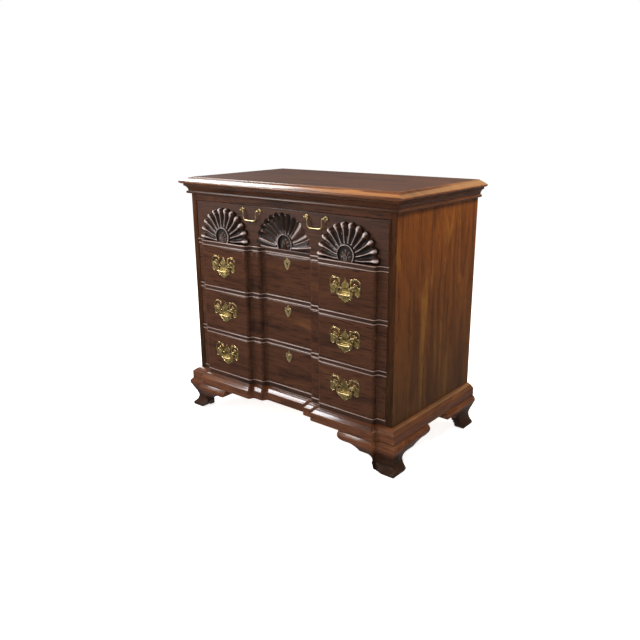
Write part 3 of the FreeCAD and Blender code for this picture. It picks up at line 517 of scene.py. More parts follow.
def relieved(tree, surface, height, strength, distance):
    """Gives the surface a fine relief."""
    bump = node(tree, "ShaderNodeBump", Strength=strength, Distance=distance)
    tree.links.new(height, bump.inputs["Height"])
    tree.links.new(bump.outputs["Normal"], surface.inputs["Normal"])


def grain_space(tree, grain, along, across):
    """Object coordinates with the grain turned to X and stretched along it."""
    turn = node(tree, "ShaderNodeMapping", Rotation=GRAIN_TURN[grain])
    tree.links.new(object_space(tree), turn.inputs["Vector"])
    stretch = node(tree, "ShaderNodeMapping", Scale=(along, across, across))
    tree.links.new(turn.outputs["Vector"], stretch.inputs["Vector"])
    return stretch.outputs["Vector"]


def polished_wood(name, grain, figure=3.0, tone=1.0, calm=0.0, spread=1.0, coated=0.8,
                  rubbed=None, stile=False, foot=False):
    """Polished mahogany with its grain along one axis; calm wood has a fainter figure.

    A colour named for the crests paints them pale as painted highlights over rubbing, and the
    hollows get grime and painted shade. A board with a stile gets painted shade on its front edge,
    as dark as the drawers beside it, and painted shade with a bluish painted sheen towards its
    foot; a foot gets painted shade towards the floor.
    """
    finish = bpy.context.scene.chest_finish
    base = finish.side if stile else finish.red
    red = tuple(c * tone for c in base)
    dark, amber = (tuple((c * (1 - calm) + r * calm) * tone for c, r in zip(colour, base))
                   for colour in (finish.dark, finish.amber))
    if stile:
        amber = tuple(c * gain for c, gain in zip(red, STILE_AMBER))
    tree, surface = shader(name)
    link = tree.links.new

    bands = noise(tree, grain_space(tree, grain, 0.9, 6.5), Scale=figure, Detail=4.0,
                  Roughness=0.55, Distortion=1.2)
    ground = ramp(tree, bands,
                  [(GROUND + (place - GROUND) * spread, tint) for place, tint in
                   ((0.30, dark), (0.47, red), (0.60, red), (0.78, amber))])
    fibres = noise(tree, grain_space(tree, grain, 0.035, 1.0), Scale=130.0, Detail=3.0,
                   Roughness=0.6)
    fibre_tone = ramp(tree, fibres,
                      [(0.34, (0.45, 0.42, 0.40)), (0.52, (1, 1, 1)), (0.72, (1.0, 0.93, 0.86))])
    colour = mixed(tree, 0.65, ground, fibre_tone, "MULTIPLY")
    pores = noise(tree, grain_space(tree, grain, 0.05, 1.0), Scale=420.0, Detail=1.0)
    pore_mask = ramp(tree, pores, [(0.60, (0, 0, 0)), (0.70, (1, 1, 1))])
    colour = mixed(tree, pore_mask, colour, tuple(c * 0.5 for c in dark))

    # painted shade from the tables above, multiplied into the colour for a stile and for a foot
    for axis, start, end, shade in STILE_PAINTED_SHADES if stile else FOOT_PAINTED_SHADES if foot else ():
        split = node(tree, "ShaderNodeSeparateXYZ")
        link(object_space(tree), split.inputs["Vector"])
        edge = ranged(tree, split.outputs[axis], (start, end))
        colour = mixed(tree, edge, colour, mixed(tree, 1.0, colour, shade, "MULTIPLY"))

    roughness = ranged(tree, bands, (0, 1), (0.27, 0.33))
    # painted light: pale crests as painted highlights over rubbing, and near black grime and
    # painted shade in the hollows
    if rubbed:
        wear = wear_and_painted_light_of(tree)
        colour = mixed(tree, ranged(tree, wear, (-0.1, -0.8)), colour, finish.hollow_grime_and_shade)
        colour = mixed(tree, ranged(tree, wear, (0.55, 0.97)), colour, getattr(finish, rubbed))
        roughness = ranged(tree, wear, (-1, 1), (0.60, 0.16))
    link(colour, surface.inputs["Base Color"])
    link(roughness, surface.inputs["Roughness"])
    relieved(tree, surface, fibres, 0.025, 0.0006)
    given(surface, **{"Coat Weight": coated, "Coat Roughness": 0.10,
                      "Specular IOR Level": 0.4 if rubbed else 0.2})


def plain_wood(name, grain, tone=1.0):
    """Sawn, unfinished inner wood."""
    base = tuple(c * tone for c in bpy.context.scene.chest_finish.poplar)
    tree, surface = shader(name)
    bands = noise(tree, grain_space(tree, grain, 0.8, 7.0), Scale=4.0, Detail=4.0,
                  Distortion=0.8)
    ground = ramp(tree, bands,
                  [(0.28, tuple(c * 0.55 for c in base)), (0.5, base),
                   (0.75, tuple(c * 1.18 for c in base))])
    fibres = noise(tree, grain_space(tree, grain, 0.03, 1.0), Scale=170.0, Detail=3.0)
    streaks = ramp(tree, fibres, [(0.3, (0.62, 0.58, 0.52)), (0.6, (1, 1, 1))])
    tree.links.new(mixed(tree, 0.8, ground, streaks, "MULTIPLY"), surface.inputs["Base Color"])
    relieved(tree, surface, fibres, 0.25, 0.0008)
    given(surface, Roughness=0.72)


def aged_brass(name, cast=False):
    """Polished brass; cast brass is bright on its rims and brown in its sunk fields, from aged
    oxide and a painted dark reflection.
    """
    finish = bpy.context.scene.chest_finish
    bright, brown = tuple(finish.brass), tuple(finish.patina_and_dark_reflection)
    tree, surface = shader(name)
    tarnish = noise(tree, object_space(tree), Scale=90.0, Detail=4.0, Roughness=0.6)
    colour = ramp(tree, tarnish,
                  [(0.28, tuple(c * 0.5 for c in bright)), (0.48, bright), (0.75, bright)])
    roughness = ranged(tree, tarnish, (0, 1), (0.26, 0.14))
    if cast:
        wear = wear_and_painted_light_of(tree)
        # the sunk fields turn brown: aged oxide and a painted dark reflection
        sunk_patina_and_reflection = ramp(tree, tarnish,
                         [(0.35, tuple(c * 0.45 for c in brown)), (0.60, brown)])
        colour = mixed(tree, ranged(tree, wear, (0.3, -0.5)), colour, sunk_patina_and_reflection)
        roughness = ranged(tree, wear, (-0.8, 1), (0.42, 0.2))
    tree.links.new(colour, surface.inputs["Base Color"])
    tree.links.new(roughness, surface.inputs["Roughness"])
    given(surface, Metallic=1.0)
    relieved(tree, surface, tarnish, 0.2, 0.0004)


FINISHES = {
    "mahogany_long": (polished_wood, {"grain": "X", "tone": 1.08, "calm": 0.22}),
    "mahogany_deep": (polished_wood, {"grain": "Y", "tone": 1.2, "calm": 0.2}),
    "mahogany_base": (polished_wood, {"grain": "X", "tone": 1.95, "calm": 0.4, "spread": 0.9}),
    "mahogany_base_deep": (polished_wood, {"grain": "Y", "tone": 1.6, "calm": 0.45}),
    "mahogany_foot": (polished_wood, {"grain": "X", "tone": 1.95, "calm": 0.45, "coated": 0.3,
                                      "foot": True}),
    "mahogany_foot_deep": (polished_wood, {"grain": "Y", "tone": 1.85, "calm": 0.45,
                                           "coated": 0.4, "foot": True}),
    "mahogany_bed": (polished_wood, {"grain": "X", "calm": 0.35, "coated": 0.25}),
    # the rails take the pale bead colour on their crests as painted highlights
    "mahogany_beaded": (polished_wood, {"grain": "X", "calm": 0.35, "coated": 0.35,
                                        "rubbed": "bead"}),
    "mahogany_upright": (polished_wood, {"grain": "Z", "calm": 0.66, "spread": 0.6,
                                         "coated": 0.3, "stile": True}),
    "mahogany_top": (polished_wood, {"grain": "X", "figure": 2.4, "tone": 2.15, "calm": 0.38,
                                     "spread": 0.9, "coated": 0.6}),
    # the carving takes the pale colour on its crests as painted highlights, with grime and painted
    # shade in its hollows
    "mahogany_carved": (polished_wood, {"grain": "X", "tone": 0.9, "calm": 0.35,
                                        "coated": 0.35, "rubbed": "rubbed"}),
    "poplar_long": (plain_wood, {"grain": "X"}),
    "poplar_deep": (plain_wood, {"grain": "Y"}),
    # inner wood painted near black as the shade under the case
    "poplar_stained": (plain_wood, {"grain": "Z", "tone": 0.16}),
    "brass": (aged_brass, {}),
    "brass_cast": (aged_brass, {"cast": True}),
}


def finish_named(name):
    """The finish of that name, made the first time that it is asked for."""
    if name not in bpy.data.materials:
        maker, values = FINISHES[name]
        maker(name, **values)
    return bpy.data.materials[name]


# ---- blocked outline ------------------------------------------------------------------------
def sweep_curve(x0, y0, x1, y1, chords):
    """Points of an S of two equal arcs between two flats of the front, both ends included."""
    width, rise = abs(x1 - x0), abs(y1 - y0)
    sign_x, sign_y = math.copysign(1, x1 - x0), math.copysign(1, y1 - y0)
    radius = (width ** 2 + rise ** 2) / (4 * rise)
    turn = 2 * math.atan(rise / width)
    first, second = [], []
    for i in range(chords + 1):
        angle = turn * i / chords
        dx = sign_x * radius * math.sin(angle)
        dy = sign_y * radius * (1 - math.cos(angle))
        first.append((x0 + dx, y0 + dy))
        second.insert(0, (x1 - dx, y1 - dy))
    return first + second[1:]


def block_steps(p):
    """The three curves of the right half at projection p."""
    plan = bpy.context.scene.chest_blocking
    carried = plan.shift * p
    recess = plan.recess_half - carried
    inner = plan.block_inner - carried
    outer = plan.block_outer + carried
    return (
        (recess, plan.recess_depth, recess + plan.recess_sweep, 0.0),
        (inner, 0.0, inner + plan.block_inner_sweep, -plan.block_out),
        (outer, -plan.block_out, outer + plan.block_outer_sweep, 0.0))


def blocked_line(p, ends):
    """(x, y) along the blocked front at projection p, out to ends on both sides."""
    chords = bpy.context.scene.chest_blocking.chords
    right = []
    for x0, d0, x1, d1 in block_steps(p):
        right += sweep_curve(x0, d0 - p, x1, d1 - p, chords)
    right.append((ends, -p))
    right = [(x, FRONT + y) for x, y in right]
    return [(-x, y) for x, y in reversed(right)] + right


def block_middle():
    """x of the right block's middle."""
    plan = bpy.context.scene.chest_blocking
    return (plan.block_inner + plan.block_inner_sweep + plan.block_outer) / 2


def blocked_solid(name, profile, ends, back_y, back_half):
    """A length across the front: profile is (projection, z) from the foot up.

    Ends gives half its length at a projection.
    """
    lines = [(blocked_line(p, ends(p)), z) for p, z in profile]
    low, high = profile[0][1], profile[-1][1]
    sections = []
    for i in range(len(lines[0][0])):
        loop = [Vector((*line[i], z)) for line, z in lines]
        x = max(-back_half, min(back_half, lines[0][0][i][0]))
        loop += [Vector((x, back_y, high)), Vector((x, back_y, low))]
        sections.append(loop)
    return swept(name, sections)


def rounded_profile(low, high, radius):
    """A flat front from low to high whose arrises are just rounded."""
    foot = []
    for turn in (0.0, 30.0, 60.0, 90.0):
        angle = math.radians(turn)
        foot.append((-radius * (1 - math.sin(angle)), low + radius * (1 - math.cos(angle))))
    return foot + [(p, low + high - z) for p, z in reversed(foot)]


def side_line(profile, y, mitred=False):
    """Points of a moulding's profile along the right side at y, or on its mitre there."""
    return [Vector((HALF_W + p, y - p if mitred else y, z)) for p, z in profile]


# ---- operators ------------------------------------------------------------------------------
FLOOR_R = 14.0
AIM = Vector((0, 0, 0.45))              # where every lamp points
# (name, place, size, power, colour)
LAMPS = (("lamp_key", (-2.0, -1.7, 2.3), 0.9, 46.0, (1, 0.95, 0.92)),
         ("lamp_over", (-1.75, -0.85, 2.5), 0.5, 17.0, (0.96, 0.97, 1)),
         ("lamp_low", (-2.1, -2.5, 1.25), 1.1, 22.0, (1, 0.88, 0.84)),
         ("lamp_front", (0.5, -3.2, 2.2), 1.2, 24.0, (1, 0.93, 0.86)),
         ("lamp_near", (1.7, -2.7, 1.9), 0.25, 8.0, (0.92, 0.95, 1)),
         ("lamp_side", (1.15, 0.35, 1.75), 0.4, 26.0, (1, 0.82, 0.56)),
         ("lamp_warm", (-1.35, 1.3, 2.8), 1.0, 10.0, (1, 0.46, 0.16)),
         ("lamp_gold", (0.35, 2.4, 2.1), 1.5, 8.0, (1, 0.62, 0.24)),
         ("lamp_back", (-2.6, 1.0, 2.5), 1.2, 40.0, (1, 0.98, 0.96)))
CAMERA = (1.531, FRONT - 1.665, 1.106)
AZIMUTH, ELEVATION, ROLL = (math.radians(a) for a in (39.52, 16.60, -0.41))
FILM_W, LENS = 36.0, 38.475             # in millimetres


class OBJECT_OT_chest_stage(bpy.types.Operator):
    """Floor, lights and camera"""

    bl_idname = "object.chest_stage"
    bl_label = "Stage"

    def execute(self, context):
        clear_selection()
        bpy.ops.mesh.primitive_circle_add(vertices=96, radius=FLOOR_R, fill_type="NGON")
        floor = context.object
        floor.name = "stage_floor"
        tree, surface = shader("stage_paper")
        given(surface, **{"Base Color": (0.92, 0.92, 0.92, 1), "Roughness": 0.9,
                          "Specular IOR Level": 0.1, "Emission Color": (1, 1, 1, 1)})
        rays = node(tree, "ShaderNodeLightPath")
        glow = ranged(tree, rays.outputs["Is Camera Ray"], (0, 1), (0.32, 0.85))
        tree.links.new(glow, surface.inputs["Emission Strength"])
        floor.data.materials.append(bpy.data.materials["stage_paper"])
        floor.visible_glossy = False

        world = bpy.data.worlds.new("stage_world")
        world.use_nodes = True
        tree = world.node_tree
        seen = given(tree.nodes["Background"], Color=(1, 1, 1, 1), Strength=1.0)
        fill = node(tree, "ShaderNodeBackground", Color=(1, 0.98, 0.96, 1))
        rays = node(tree, "ShaderNodeLightPath")
        level = ranged(tree, rays.outputs["Is Glossy Ray"], (0, 1), (0.18, 0.12))
        tree.links.new(level, fill.inputs["Strength"])
        either = node(tree, "ShaderNodeMixShader")
        tree.links.new(rays.outputs["Is Camera Ray"], either.inputs["Fac"])
        tree.links.new(fill.outputs["Background"], either.inputs[1])
        tree.links.new(seen.outputs["Background"], either.inputs[2])
        tree.links.new(either.outputs["Shader"], tree.nodes["World Output"].inputs["Surface"])
        context.scene.world = world
        context.scene.view_settings.view_transform = "Standard"

        for name, place, size, power, colour in LAMPS:
            bpy.ops.object.light_add(type="AREA", location=place)
            lamp = context.object
            lamp.name = name
            lamp.data.size = size
            lamp.data.energy = power
            lamp.data.color = colour
            lamp.rotation_euler = (AIM - Vector(place)).to_track_quat("-Z", "Y").to_euler()

        look = Vector((-math.sin(AZIMUTH) * math.cos(ELEVATION),
                       math.cos(AZIMUTH) * math.cos(ELEVATION), -math.sin(ELEVATION)))
        right = look.cross(Vector((0, 0, 1))).normalized()
        up = right.cross(look)
        tilted = right * math.cos(ROLL) + up * math.sin(ROLL)
        raised = up * math.cos(ROLL) - right * math.sin(ROLL)
        bpy.ops.object.camera_add(location=CAMERA)
        camera = context.object
        camera.name = "stage_camera"
        axes = Matrix((tilted, raised, -look)).transposed()
        camera.rotation_euler = axes.to_euler()
        camera.data.sensor_width = FILM_W
        camera.data.lens = LENS
        context.scene.camera = camera
        return {"FINISHED"}


class OBJECT_OT_chest_case(bpy.types.Operator):
    """Finishes on the boards of the case that keep the frame's shapes"""

    bl_idname = "object.chest_case"
    bl_label = "Case boards"

    def execute(self, context):
        for side in SIDES:
            dress("case_side_" + side, "mahogany_upright")
        dress("top_rails", "mahogany_long")
        for name in ("back_panel", "bottom_board", "base_frame_back"):
            dress(name, "poplar_long")
        dress("drawer_runners", "poplar_deep")
        return {"FINISHED"}


class OBJECT_OT_chest_top(bpy.types.Operator):
    """Top board with its moulded edge"""

    bl_idname = "object.chest_top"
    bl_label = "Top board"

    def execute(self, context):
        edge = smooth(TOP_EDGE, 4) + [Vector(p) for p in TOP_STEP]
        sections = []
        for p, up in edge:
            x, y, z = HALF_W + p, FRONT - p, TOP_Z + up
            corners = ((-x, y), (x, y), (x, BACK), (-x, BACK))
            sections.append([Vector((*corner, z)) for corner in corners])
        board = swept("top_board_moulded", sections)
        done(board, "case", "mahogany_top", "mahogany", "top_board")
        return {"FINISHED"}


class OBJECT_OT_chest_bed_moulding(bpy.types.Operator):
    """Cove and bead under the top, mitred at the front corners"""

    bl_idname = "object.chest_bed_moulding"
    bl_label = "Bed moulding"

    def execute(self, context):
        edge = [Vector((0, 0))] + smooth(BED_BEAD, 4) + smooth(BED_COVE, 5)[1:]
        edge += [Vector((BED_COVE[-1][0], TOP_Z - BED_Z)), Vector((0, TOP_Z - BED_Z))]
        profile = [(p, BED_Z + up) for p, up in edge]
        front = swept("bed_moulding_across",
                      [[Vector((sign * (HALF_W + p), FRONT - p, z)) for p, z in profile]
                       for sign in SIDES.values()])
        done(front, "case", "mahogany_bed", "mahogany", "bed_moulding_front")
        right = swept("bed_moulding_right",
                      [side_line(profile, FRONT, mitred=True), side_line(profile, BACK)])
        done_with_twin(right, "bed_moulding_left", "case", "mahogany_deep", "mahogany",
                       "bed_moulding_returns")
        return {"FINISHED"}


class OBJECT_OT_chest_rails(bpy.types.Operator):
    """Blocked rails between the drawers, beaded along their edges"""

    bl_idname = "object.chest_rails"
    bl_label = "Beaded rails"

    flats, fullness = 8, 0.8            # of a bead's round
    crest, quirk = 0.0010, 0.0018       # from a bead's middle line
    # the value of painted light and rubbing for a bead's crest, painted pale as a highlight; for
    # its sides; and for the quirk beside it, painted darker as shade
    crest_wear, side_wear, quirk_wear = 0.9, 0.2, -0.3

    def bead(self, low):
        """(projection, z) over a bead that starts at low."""
        points = [(BEAD_SUNK, low)]
        for i in range(1, self.flats):
            turn = math.pi * i / self.flats
            rise = math.sin(turn) ** self.fullness
            points.append((BEAD_SUNK + (BEAD_PROUD - BEAD_SUNK) * rise,
                           low + BEAD_W * (1 - math.cos(turn)) / 2))
        return points + [(BEAD_SUNK, low + BEAD_W)]

    def bead_wear_and_painted_light(self, off):
        """The value of painted light and rubbing this far from a bead's middle line: its crest is
        painted pale as a highlight, and the quirk beside it gets painted shade.
        """
        if off < self.crest:
            return self.crest_wear
        return self.quirk_wear if off > self.quirk else self.side_wear

    def execute(self, context):
        rails = [("divider_%d" % n, True) for n in (1, 2, 3)] + [("bottom_rail", False)]
        for name, both in rails:
            low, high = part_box(name)
            profile = self.bead(low.z) if both else [(BEAD_SUNK, low.z)]
            profile += self.bead(high.z - BEAD_W)
            rail = blocked_solid(name + "_beaded", profile, lambda p: OPENING_HALF, high.y,
                                 OPENING_HALF)
            if both:
                cut(rail, block("mortise", (-MORTISE_HALF, FRONT + MORTISE_FRONT, low.z - PAST),
                                (MORTISE_HALF, FRONT + MORTISE_BACK, low.z + MORTISE_H)))
            middles = [high.z - BEAD_W / 2] + ([low.z + BEAD_W / 2] if both else [])
            wear = add_wear_and_painted_light(rail)
            for vertex in rail.data.vertices:
                if vertex.co.y < high.y - MM:
                    off = min(abs(vertex.co.z - middle) for middle in middles)
                    wear.data[vertex.index].value = self.bead_wear_and_painted_light(off)
            done(rail, "case", "mahogany_beaded", "mahogany", name)
        return {"FINISHED"}


class OBJECT_OT_chest_base(bpy.types.Operator):
    """Base moulding that follows the blocking, with its returns"""

    bl_idname = "object.chest_base"
    bl_label = "Base moulding"

    def execute(self, context):
        edge = [Vector((BASE_EDGE[0][0] - BASE_CHAMFER, 0)), Vector(BASE_EDGE[0])]
        profile = [(p, FOOT_H + up) for p, up in edge + smooth(BASE_EDGE[1:], 4)]
        top = profile[-1][1]
        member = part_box("base_moulding_front")[1].y
        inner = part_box("base_moulding_returns")[1].x - BASE_EDGE[0][0] - BASE_MEMBER
        front = blocked_solid("base_moulding_across", profile, lambda p: HALF_W + p, member, inner)
        done(front, "case", "mahogany_base", "mahogany", "base_moulding_front")
        sections = [side_line(profile, y, mitred=y == FRONT)
                    + [Vector((inner, start, top)), Vector((inner, start, FOOT_H))]
                    for y, start in ((FRONT, member), (BACK, BACK))]
        right = swept("base_moulding_right", sections)
        done_with_twin(right, "base_moulding_left", "case", "mahogany_base_deep", "mahogany",
                       "base_moulding_returns")
        return {"FINISHED"}


class OBJECT_OT_chest_feet(bpy.types.Operator):
    """Ogee bracket feet, the front pair blocked"""

    bl_idname = "object.chest_feet"
    bl_label = "Feet"

    reach = 0.181                       # of a wing, from the case's corner
    leg, front_leg = 0.047, 0.055       # widths of the legs at the side and the front
    behind = 0.008                      # from the case's face to a facing's back
    back_shift = 0.026                  # of the back foot's outline towards the front
    # the bracket behind the back foot: its reach and thickness, and its depths at leg and tip
    bracket_reach, bracket_t, bracket_leg, bracket_tip = 0.150, 0.018, 0.050, 0.016
    glue_block, glue_block_low = 0.022, 0.002
    # the solid that cuts a facing to its outline
    cut_from, cut_side_from, cut_depth, cut_past = 0.08, 0.05, 0.12, 0.06

    def outlined(self, facing, place, shift, depth, leg_width, toe):
        """The facing cut to the bracket's outline, which place sets in space."""
        wing = [(self.reach + shift - u, FOOT_H - down) for u, down in smooth(WING, 4)]
        leg = [(leg_width + shift + u, FOOT_H - down) for u, down in smooth(LEG + toe, 4)]
        outline = wing + leg + [(-self.cut_past, -MM), (-self.cut_past, FOOT_H + MM),
                                (self.reach + shift, FOOT_H + MM)]
        tool = prism("outline", [place(u, z) for u, z in outline], depth)
        return cut(facing, tool, "INTERSECT")

    def front_facing(self):
        """The right foot's front, with the block's end running down it."""
        wing_x = HALF_W - self.reach
        chords = bpy.context.scene.chest_blocking.chords
        lines = []
        for p, z in smooth(OGEE, 4):
            x0, d0, x1, d1 = block_steps(p)[2]
            line = [(wing_x, d0 - p)] + sweep_curve(x0, d0 - p, x1, d1 - p, chords)
            line.append((HALF_W + p, -p))
            lines.append([Vector((x, FRONT + y, z)) for x, y in line])
        sections = []
        for i in range(len(lines[0])):
            x, y = min(lines[0][i].x, HALF_W - self.behind), FRONT + self.behind
            sections.append([line[i] for line in lines]
                            + [Vector((x, y, FOOT_H)), Vector((x, y, 0))])
        return self.outlined(swept("foot_facing", sections),
                             lambda u, z: Vector((HALF_W - u, FRONT - self.cut_from, z)), 0.0,
                             (0, self.cut_depth, 0), self.front_leg, FRONT_TOE)

    def side_facing(self, start, end, mitred, place_y, shift):
        """A right foot's side between start and end, mitred at start for a front foot."""
        inner = HALF_W - self.behind
        sections = []
        for y, mitre in ((start, mitred), (end, False)):
            back = y + self.behind if mitre else y
            sections.append(side_line(smooth(OGEE, 4), y, mitre)
                            + [Vector((inner, back, FOOT_H)), Vector((inner, back, 0))])
        return self.outlined(swept("foot_side", sections),
                             lambda u, z: Vector((HALF_W - self.cut_side_from, place_y(u), z)),
                             shift, (self.cut_depth, 0, 0), self.leg, SIDE_TOE)

    def finish_pair(self, pieces, end, finish):
        """Makes the right foot's pieces one, mirrors it for the left and finishes both."""
        foot = joined(pieces)
        foot.name = "foot_%s_right_ogee" % end
        soften(foot, FOOT_ARRIS)
        twin = mirror_copy(foot, "foot_%s_left_ogee" % end)
        for piece, side in ((foot, "right"), (twin, "left")):
            done(piece, "case", finish, "mahogany", "foot_%s_%s" % (end, side))

    def execute(self, context):
        front = self.front_facing()
        side = self.side_facing(FRONT, FRONT + self.reach + PAST, True, lambda u: FRONT + u, 0.0)
        self.finish_pair([front, side], "front", "mahogany_foot")

        side = self.side_facing(BACK - self.reach - self.back_shift - PAST, BACK, False,
                                lambda u: BACK - u, self.back_shift)
        inner, tip = HALF_W - self.behind, HALF_W - self.bracket_reach
        outline = [(inner, 0), (inner - self.leg + self.behind, 0),
                   (inner - self.leg, FOOT_H - self.bracket_leg),
                   (tip, FOOT_H - self.bracket_tip), (tip, FOOT_H), (inner, FOOT_H)]
        bracket_y = BACK - self.bracket_t
        bracket = prism("foot_bracket", [Vector((x, bracket_y, z)) for x, z in outline],
                        (0, self.bracket_t, 0))
        self.finish_pair([side, bracket], "back", "mahogany_foot_deep")

        size = self.glue_block
        for y, place in ((FRONT + self.behind, "front"), (bracket_y - size, "back")):
            upright = block("glue_block_%s_right" % place, (inner - size, y, self.glue_block_low),
                            (inner, y + size, FOOT_H))
            soften(upright, GLUE_BLOCK_ARRIS)
            # the glue blocks get painted shade, near black as under the case
            done_with_twin(upright, "glue_block_%s_left" % place, "case", "poplar_stained",
                           "secondary_wood", "foot_glue_blocks")
        return {"FINISHED"}


def keyhole():
    """(x, z) round a keyhole, from the middle of its eye."""
    turns = [math.radians(a) for a in range(-65, 246, 31)]      # open at the foot, to the slot
    eye = [(KEYHOLE_EYE * math.cos(a), KEYHOLE_EYE * math.sin(a)) for a in turns]
    return eye + [(-KEYHOLE_HALF, -KEYHOLE_TAIL), (KEYHOLE_HALF, -KEYHOLE_TAIL)]


def keyhole_eye(number):
    """z of the middle of the keyhole's eye on the numbered drawer."""
    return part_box("divider_%d" % (number - 1))[0].z - KEYHOLE_DROP


def cut_sockets(front, number):
    """Cuts the sockets for the tails of the drawer's sides into the ends of its front."""
    low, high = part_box("drawer_%d_front" % number)
    sides_low, sides_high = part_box("drawer_%d_sides" % number)
    pitch = (sides_high.z - low.z) / TAILS
    neck = pitch * TAIL_NECK / 2
    tip = neck + (high.y - sides_low.y) * TAIL_SLOPE
    back = high.y + MM
    sockets = []
    for sign in SIDES.values():
        for i in range(TAILS):
            middle = low.z + pitch * (i + 0.5)
            outline = [Vector((sign * (high.x - DRAWER_SIDE_T), y, middle + z)) for y, z in
                       ((sides_low.y, -tip), (sides_low.y, tip), (high.y, neck), (back, neck),
                        (back, -neck), (high.y, -neck))]
            sockets.append(prism("socket", outline, (sign * (DRAWER_SIDE_T + MM), 0, 0)))
    cut(front, joined(sockets))


class OBJECT_OT_chest_fronts(bpy.types.Operator):
    """Blocked fronts of the lower three drawers"""

    bl_idname = "object.chest_fronts"
    bl_label = "Drawer fronts"

    def execute(self, context):
        for number in DRAWERS[1:]:
            name = "drawer_%d_front" % number
            low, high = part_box(name)
            profile = rounded_profile(low.z, high.z, FRONT_ARRIS)
            front = blocked_solid(name + "_blocked", profile, lambda p: high.x, high.y, high.x)
            case_low, case_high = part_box("drawer_%d_lock_case" % number)
            cut(front, block("pocket", case_low, case_high + Vector((0, PAST, PAST))))
            outline = [Vector((x, FRONT, keyhole_eye(number) + z)) for x, z in keyhole()]
            cut(front, prism("keyhole", outline, (0, KEYHOLE_DEPTH, 0)))
            cut_sockets(front, number)
            done(front, "drawer_%d" % number, "mahogany_long", "mahogany", name)
        return {"FINISHED"}


class OBJECT_OT_chest_boxes(bpy.types.Operator):
    """Finishes on the drawers' boxes and locks"""

    bl_idname = "object.chest_boxes"
    bl_label = "Drawer boxes"

    def execute(self, context):
        for number in DRAWERS:
            name = "drawer_%d_" % number
            dress(name + "sides", "poplar_deep")
            dress(name + "back", "poplar_long")
            dress(name + "bottom", "poplar_long")
            if number > 1:
                dress(name + "lock_case", "brass")
                dress(name + "lock_bolt", "brass")
        return {"FINISHED"}


# ---- carved shells --------------------------------------------------------------------------
def eased(stations, share, column):
    """A value between stations of (share, value, ...), eased from one to the next."""
    for low, high in zip(stations, stations[1:]):
        if share <= high[0]:
            t = (share - low[0]) / (high[0] - low[0])
            t = t * t * (3 - 2 * t)
            return low[column] + (high[column] - low[column]) * t
    return stations[-1][column]


# (share of the way from ring to rim, height between the lobes' edges, height at the edges, how
# narrow a lobe is); for the sunk shell the heights are depths
RAISED = ((0.0, 0.0150, 0.0125, 1.5), (0.15, 0.0168, 0.0085, 2.6), (0.4, 0.0162, 0.0042, 4.0),
          (0.64, 0.0162, 0.0028, 3.4), (0.78, 0.0192, 0.0028, 1.4), (0.88, 0.0212, 0.0026, 0.8),
          (0.95, 0.0180, 0.0024, 0.55), (1.0, 0.0040, 0.0020, 0.45))
SUNK = ((0.0, 0.0100, 0.0085, 0.8), (0.2, 0.0140, 0.0080, 0.6), (0.6, 0.0135, 0.0048, 0.5),
        (0.84, 0.0105, 0.0030, 0.5), (0.92, 0.0022, 0.0010, 0.6), (0.96, 0.0042, 0.0034, 0.6),
        (1.0, 0.0, 0.0, 0.6))
SUNK_RIDGE = 0.001
LOBE_AWAY, LOBE_LEAN, LOBE_HANDLE = 0.35, 0.65, 0.33    # shares that give a lobe its curve
BULB = 0.76                             # where a raised lobe's pale end, a painted highlight over rubbing, starts
RIB = 2.2                               # the least narrowness of a raised lobe's pale rib, a painted highlight over rubbing
# painted highlight over rubbing on the crests, the same under 0 as painted shade in the hollows,
# and painted shade on the rim round the lobes
LOBE_WEAR_AND_LIGHT, BULB_WEAR_AND_HIGHLIGHT, LEAF_WEAR_AND_LIGHT, RIM_PAINTED_SHADE = 0.95, 0.5, 0.9, -0.9
RAISED_RIM, SUNK_RIM = 0.985, 0.96      # where the painted dark edge round the lobes, a painted shade, starts
LOBE_COLUMNS = 18                       # points across a lobe
DISH_ROWS, RING_ROWS = 30, 10
RING_FULLNESS = 0.7
LEAVES = (1.0, 1.15, 1.3, 1.15, 1.0)    # lengths of the palmette's lobes
LEAF_FIRST, LEAF_APART = 20, 35         # in degrees
LEAF_BELLY, LEAF_FADE = 0.7, 6          # exponents: how near its foot a lobe is full, and how
                                        # fast the leaf dies out at the dish's edge
SCROLL_RISE = 0.9                       # against the lobes
# shares of a palmette's size: a lobe's width, and a scroll's place, radius and width
LEAF_W, SCROLL_X, SCROLL_DOWN, SCROLL_R, SCROLL_W = 0.2, 0.55, 0.18, 0.26, 0.09
LEAF_RISE, LEAF_SIZE, LEAF_DROP = 0.0042, 0.78, 0.45    # the last two, shares of the dish


def facing_out(turn):
    """The direction on the front at this turn in radians from the right."""
    return Vector((math.cos(turn), 0, math.sin(turn)))


def lobe_wear_and_painted_light(share, hump, narrow, sunk, at_end):
    """Painted light of a lobe at a share of its length, where hump goes from 0 at its edges to 1:
    crests painted pale as highlights over rubbing, hollows with grime and painted shade, the rim
    with painted shade.
    """
    if share > (SUNK_RIM if sunk else RAISED_RIM):
        return 0.0 if sunk and share == 1 else RIM_PAINTED_SHADE
    wear = 2 * LOBE_WEAR_AND_LIGHT * hump ** (narrow if sunk else max(narrow, RIB)) - LOBE_WEAR_AND_LIGHT
    if sunk:
        return wear if at_end else -wear
    return max(wear, (1 + BULB_WEAR_AND_HIGHLIGHT) * hump - BULB_WEAR_AND_HIGHLIGHT) if share > BULB else wear


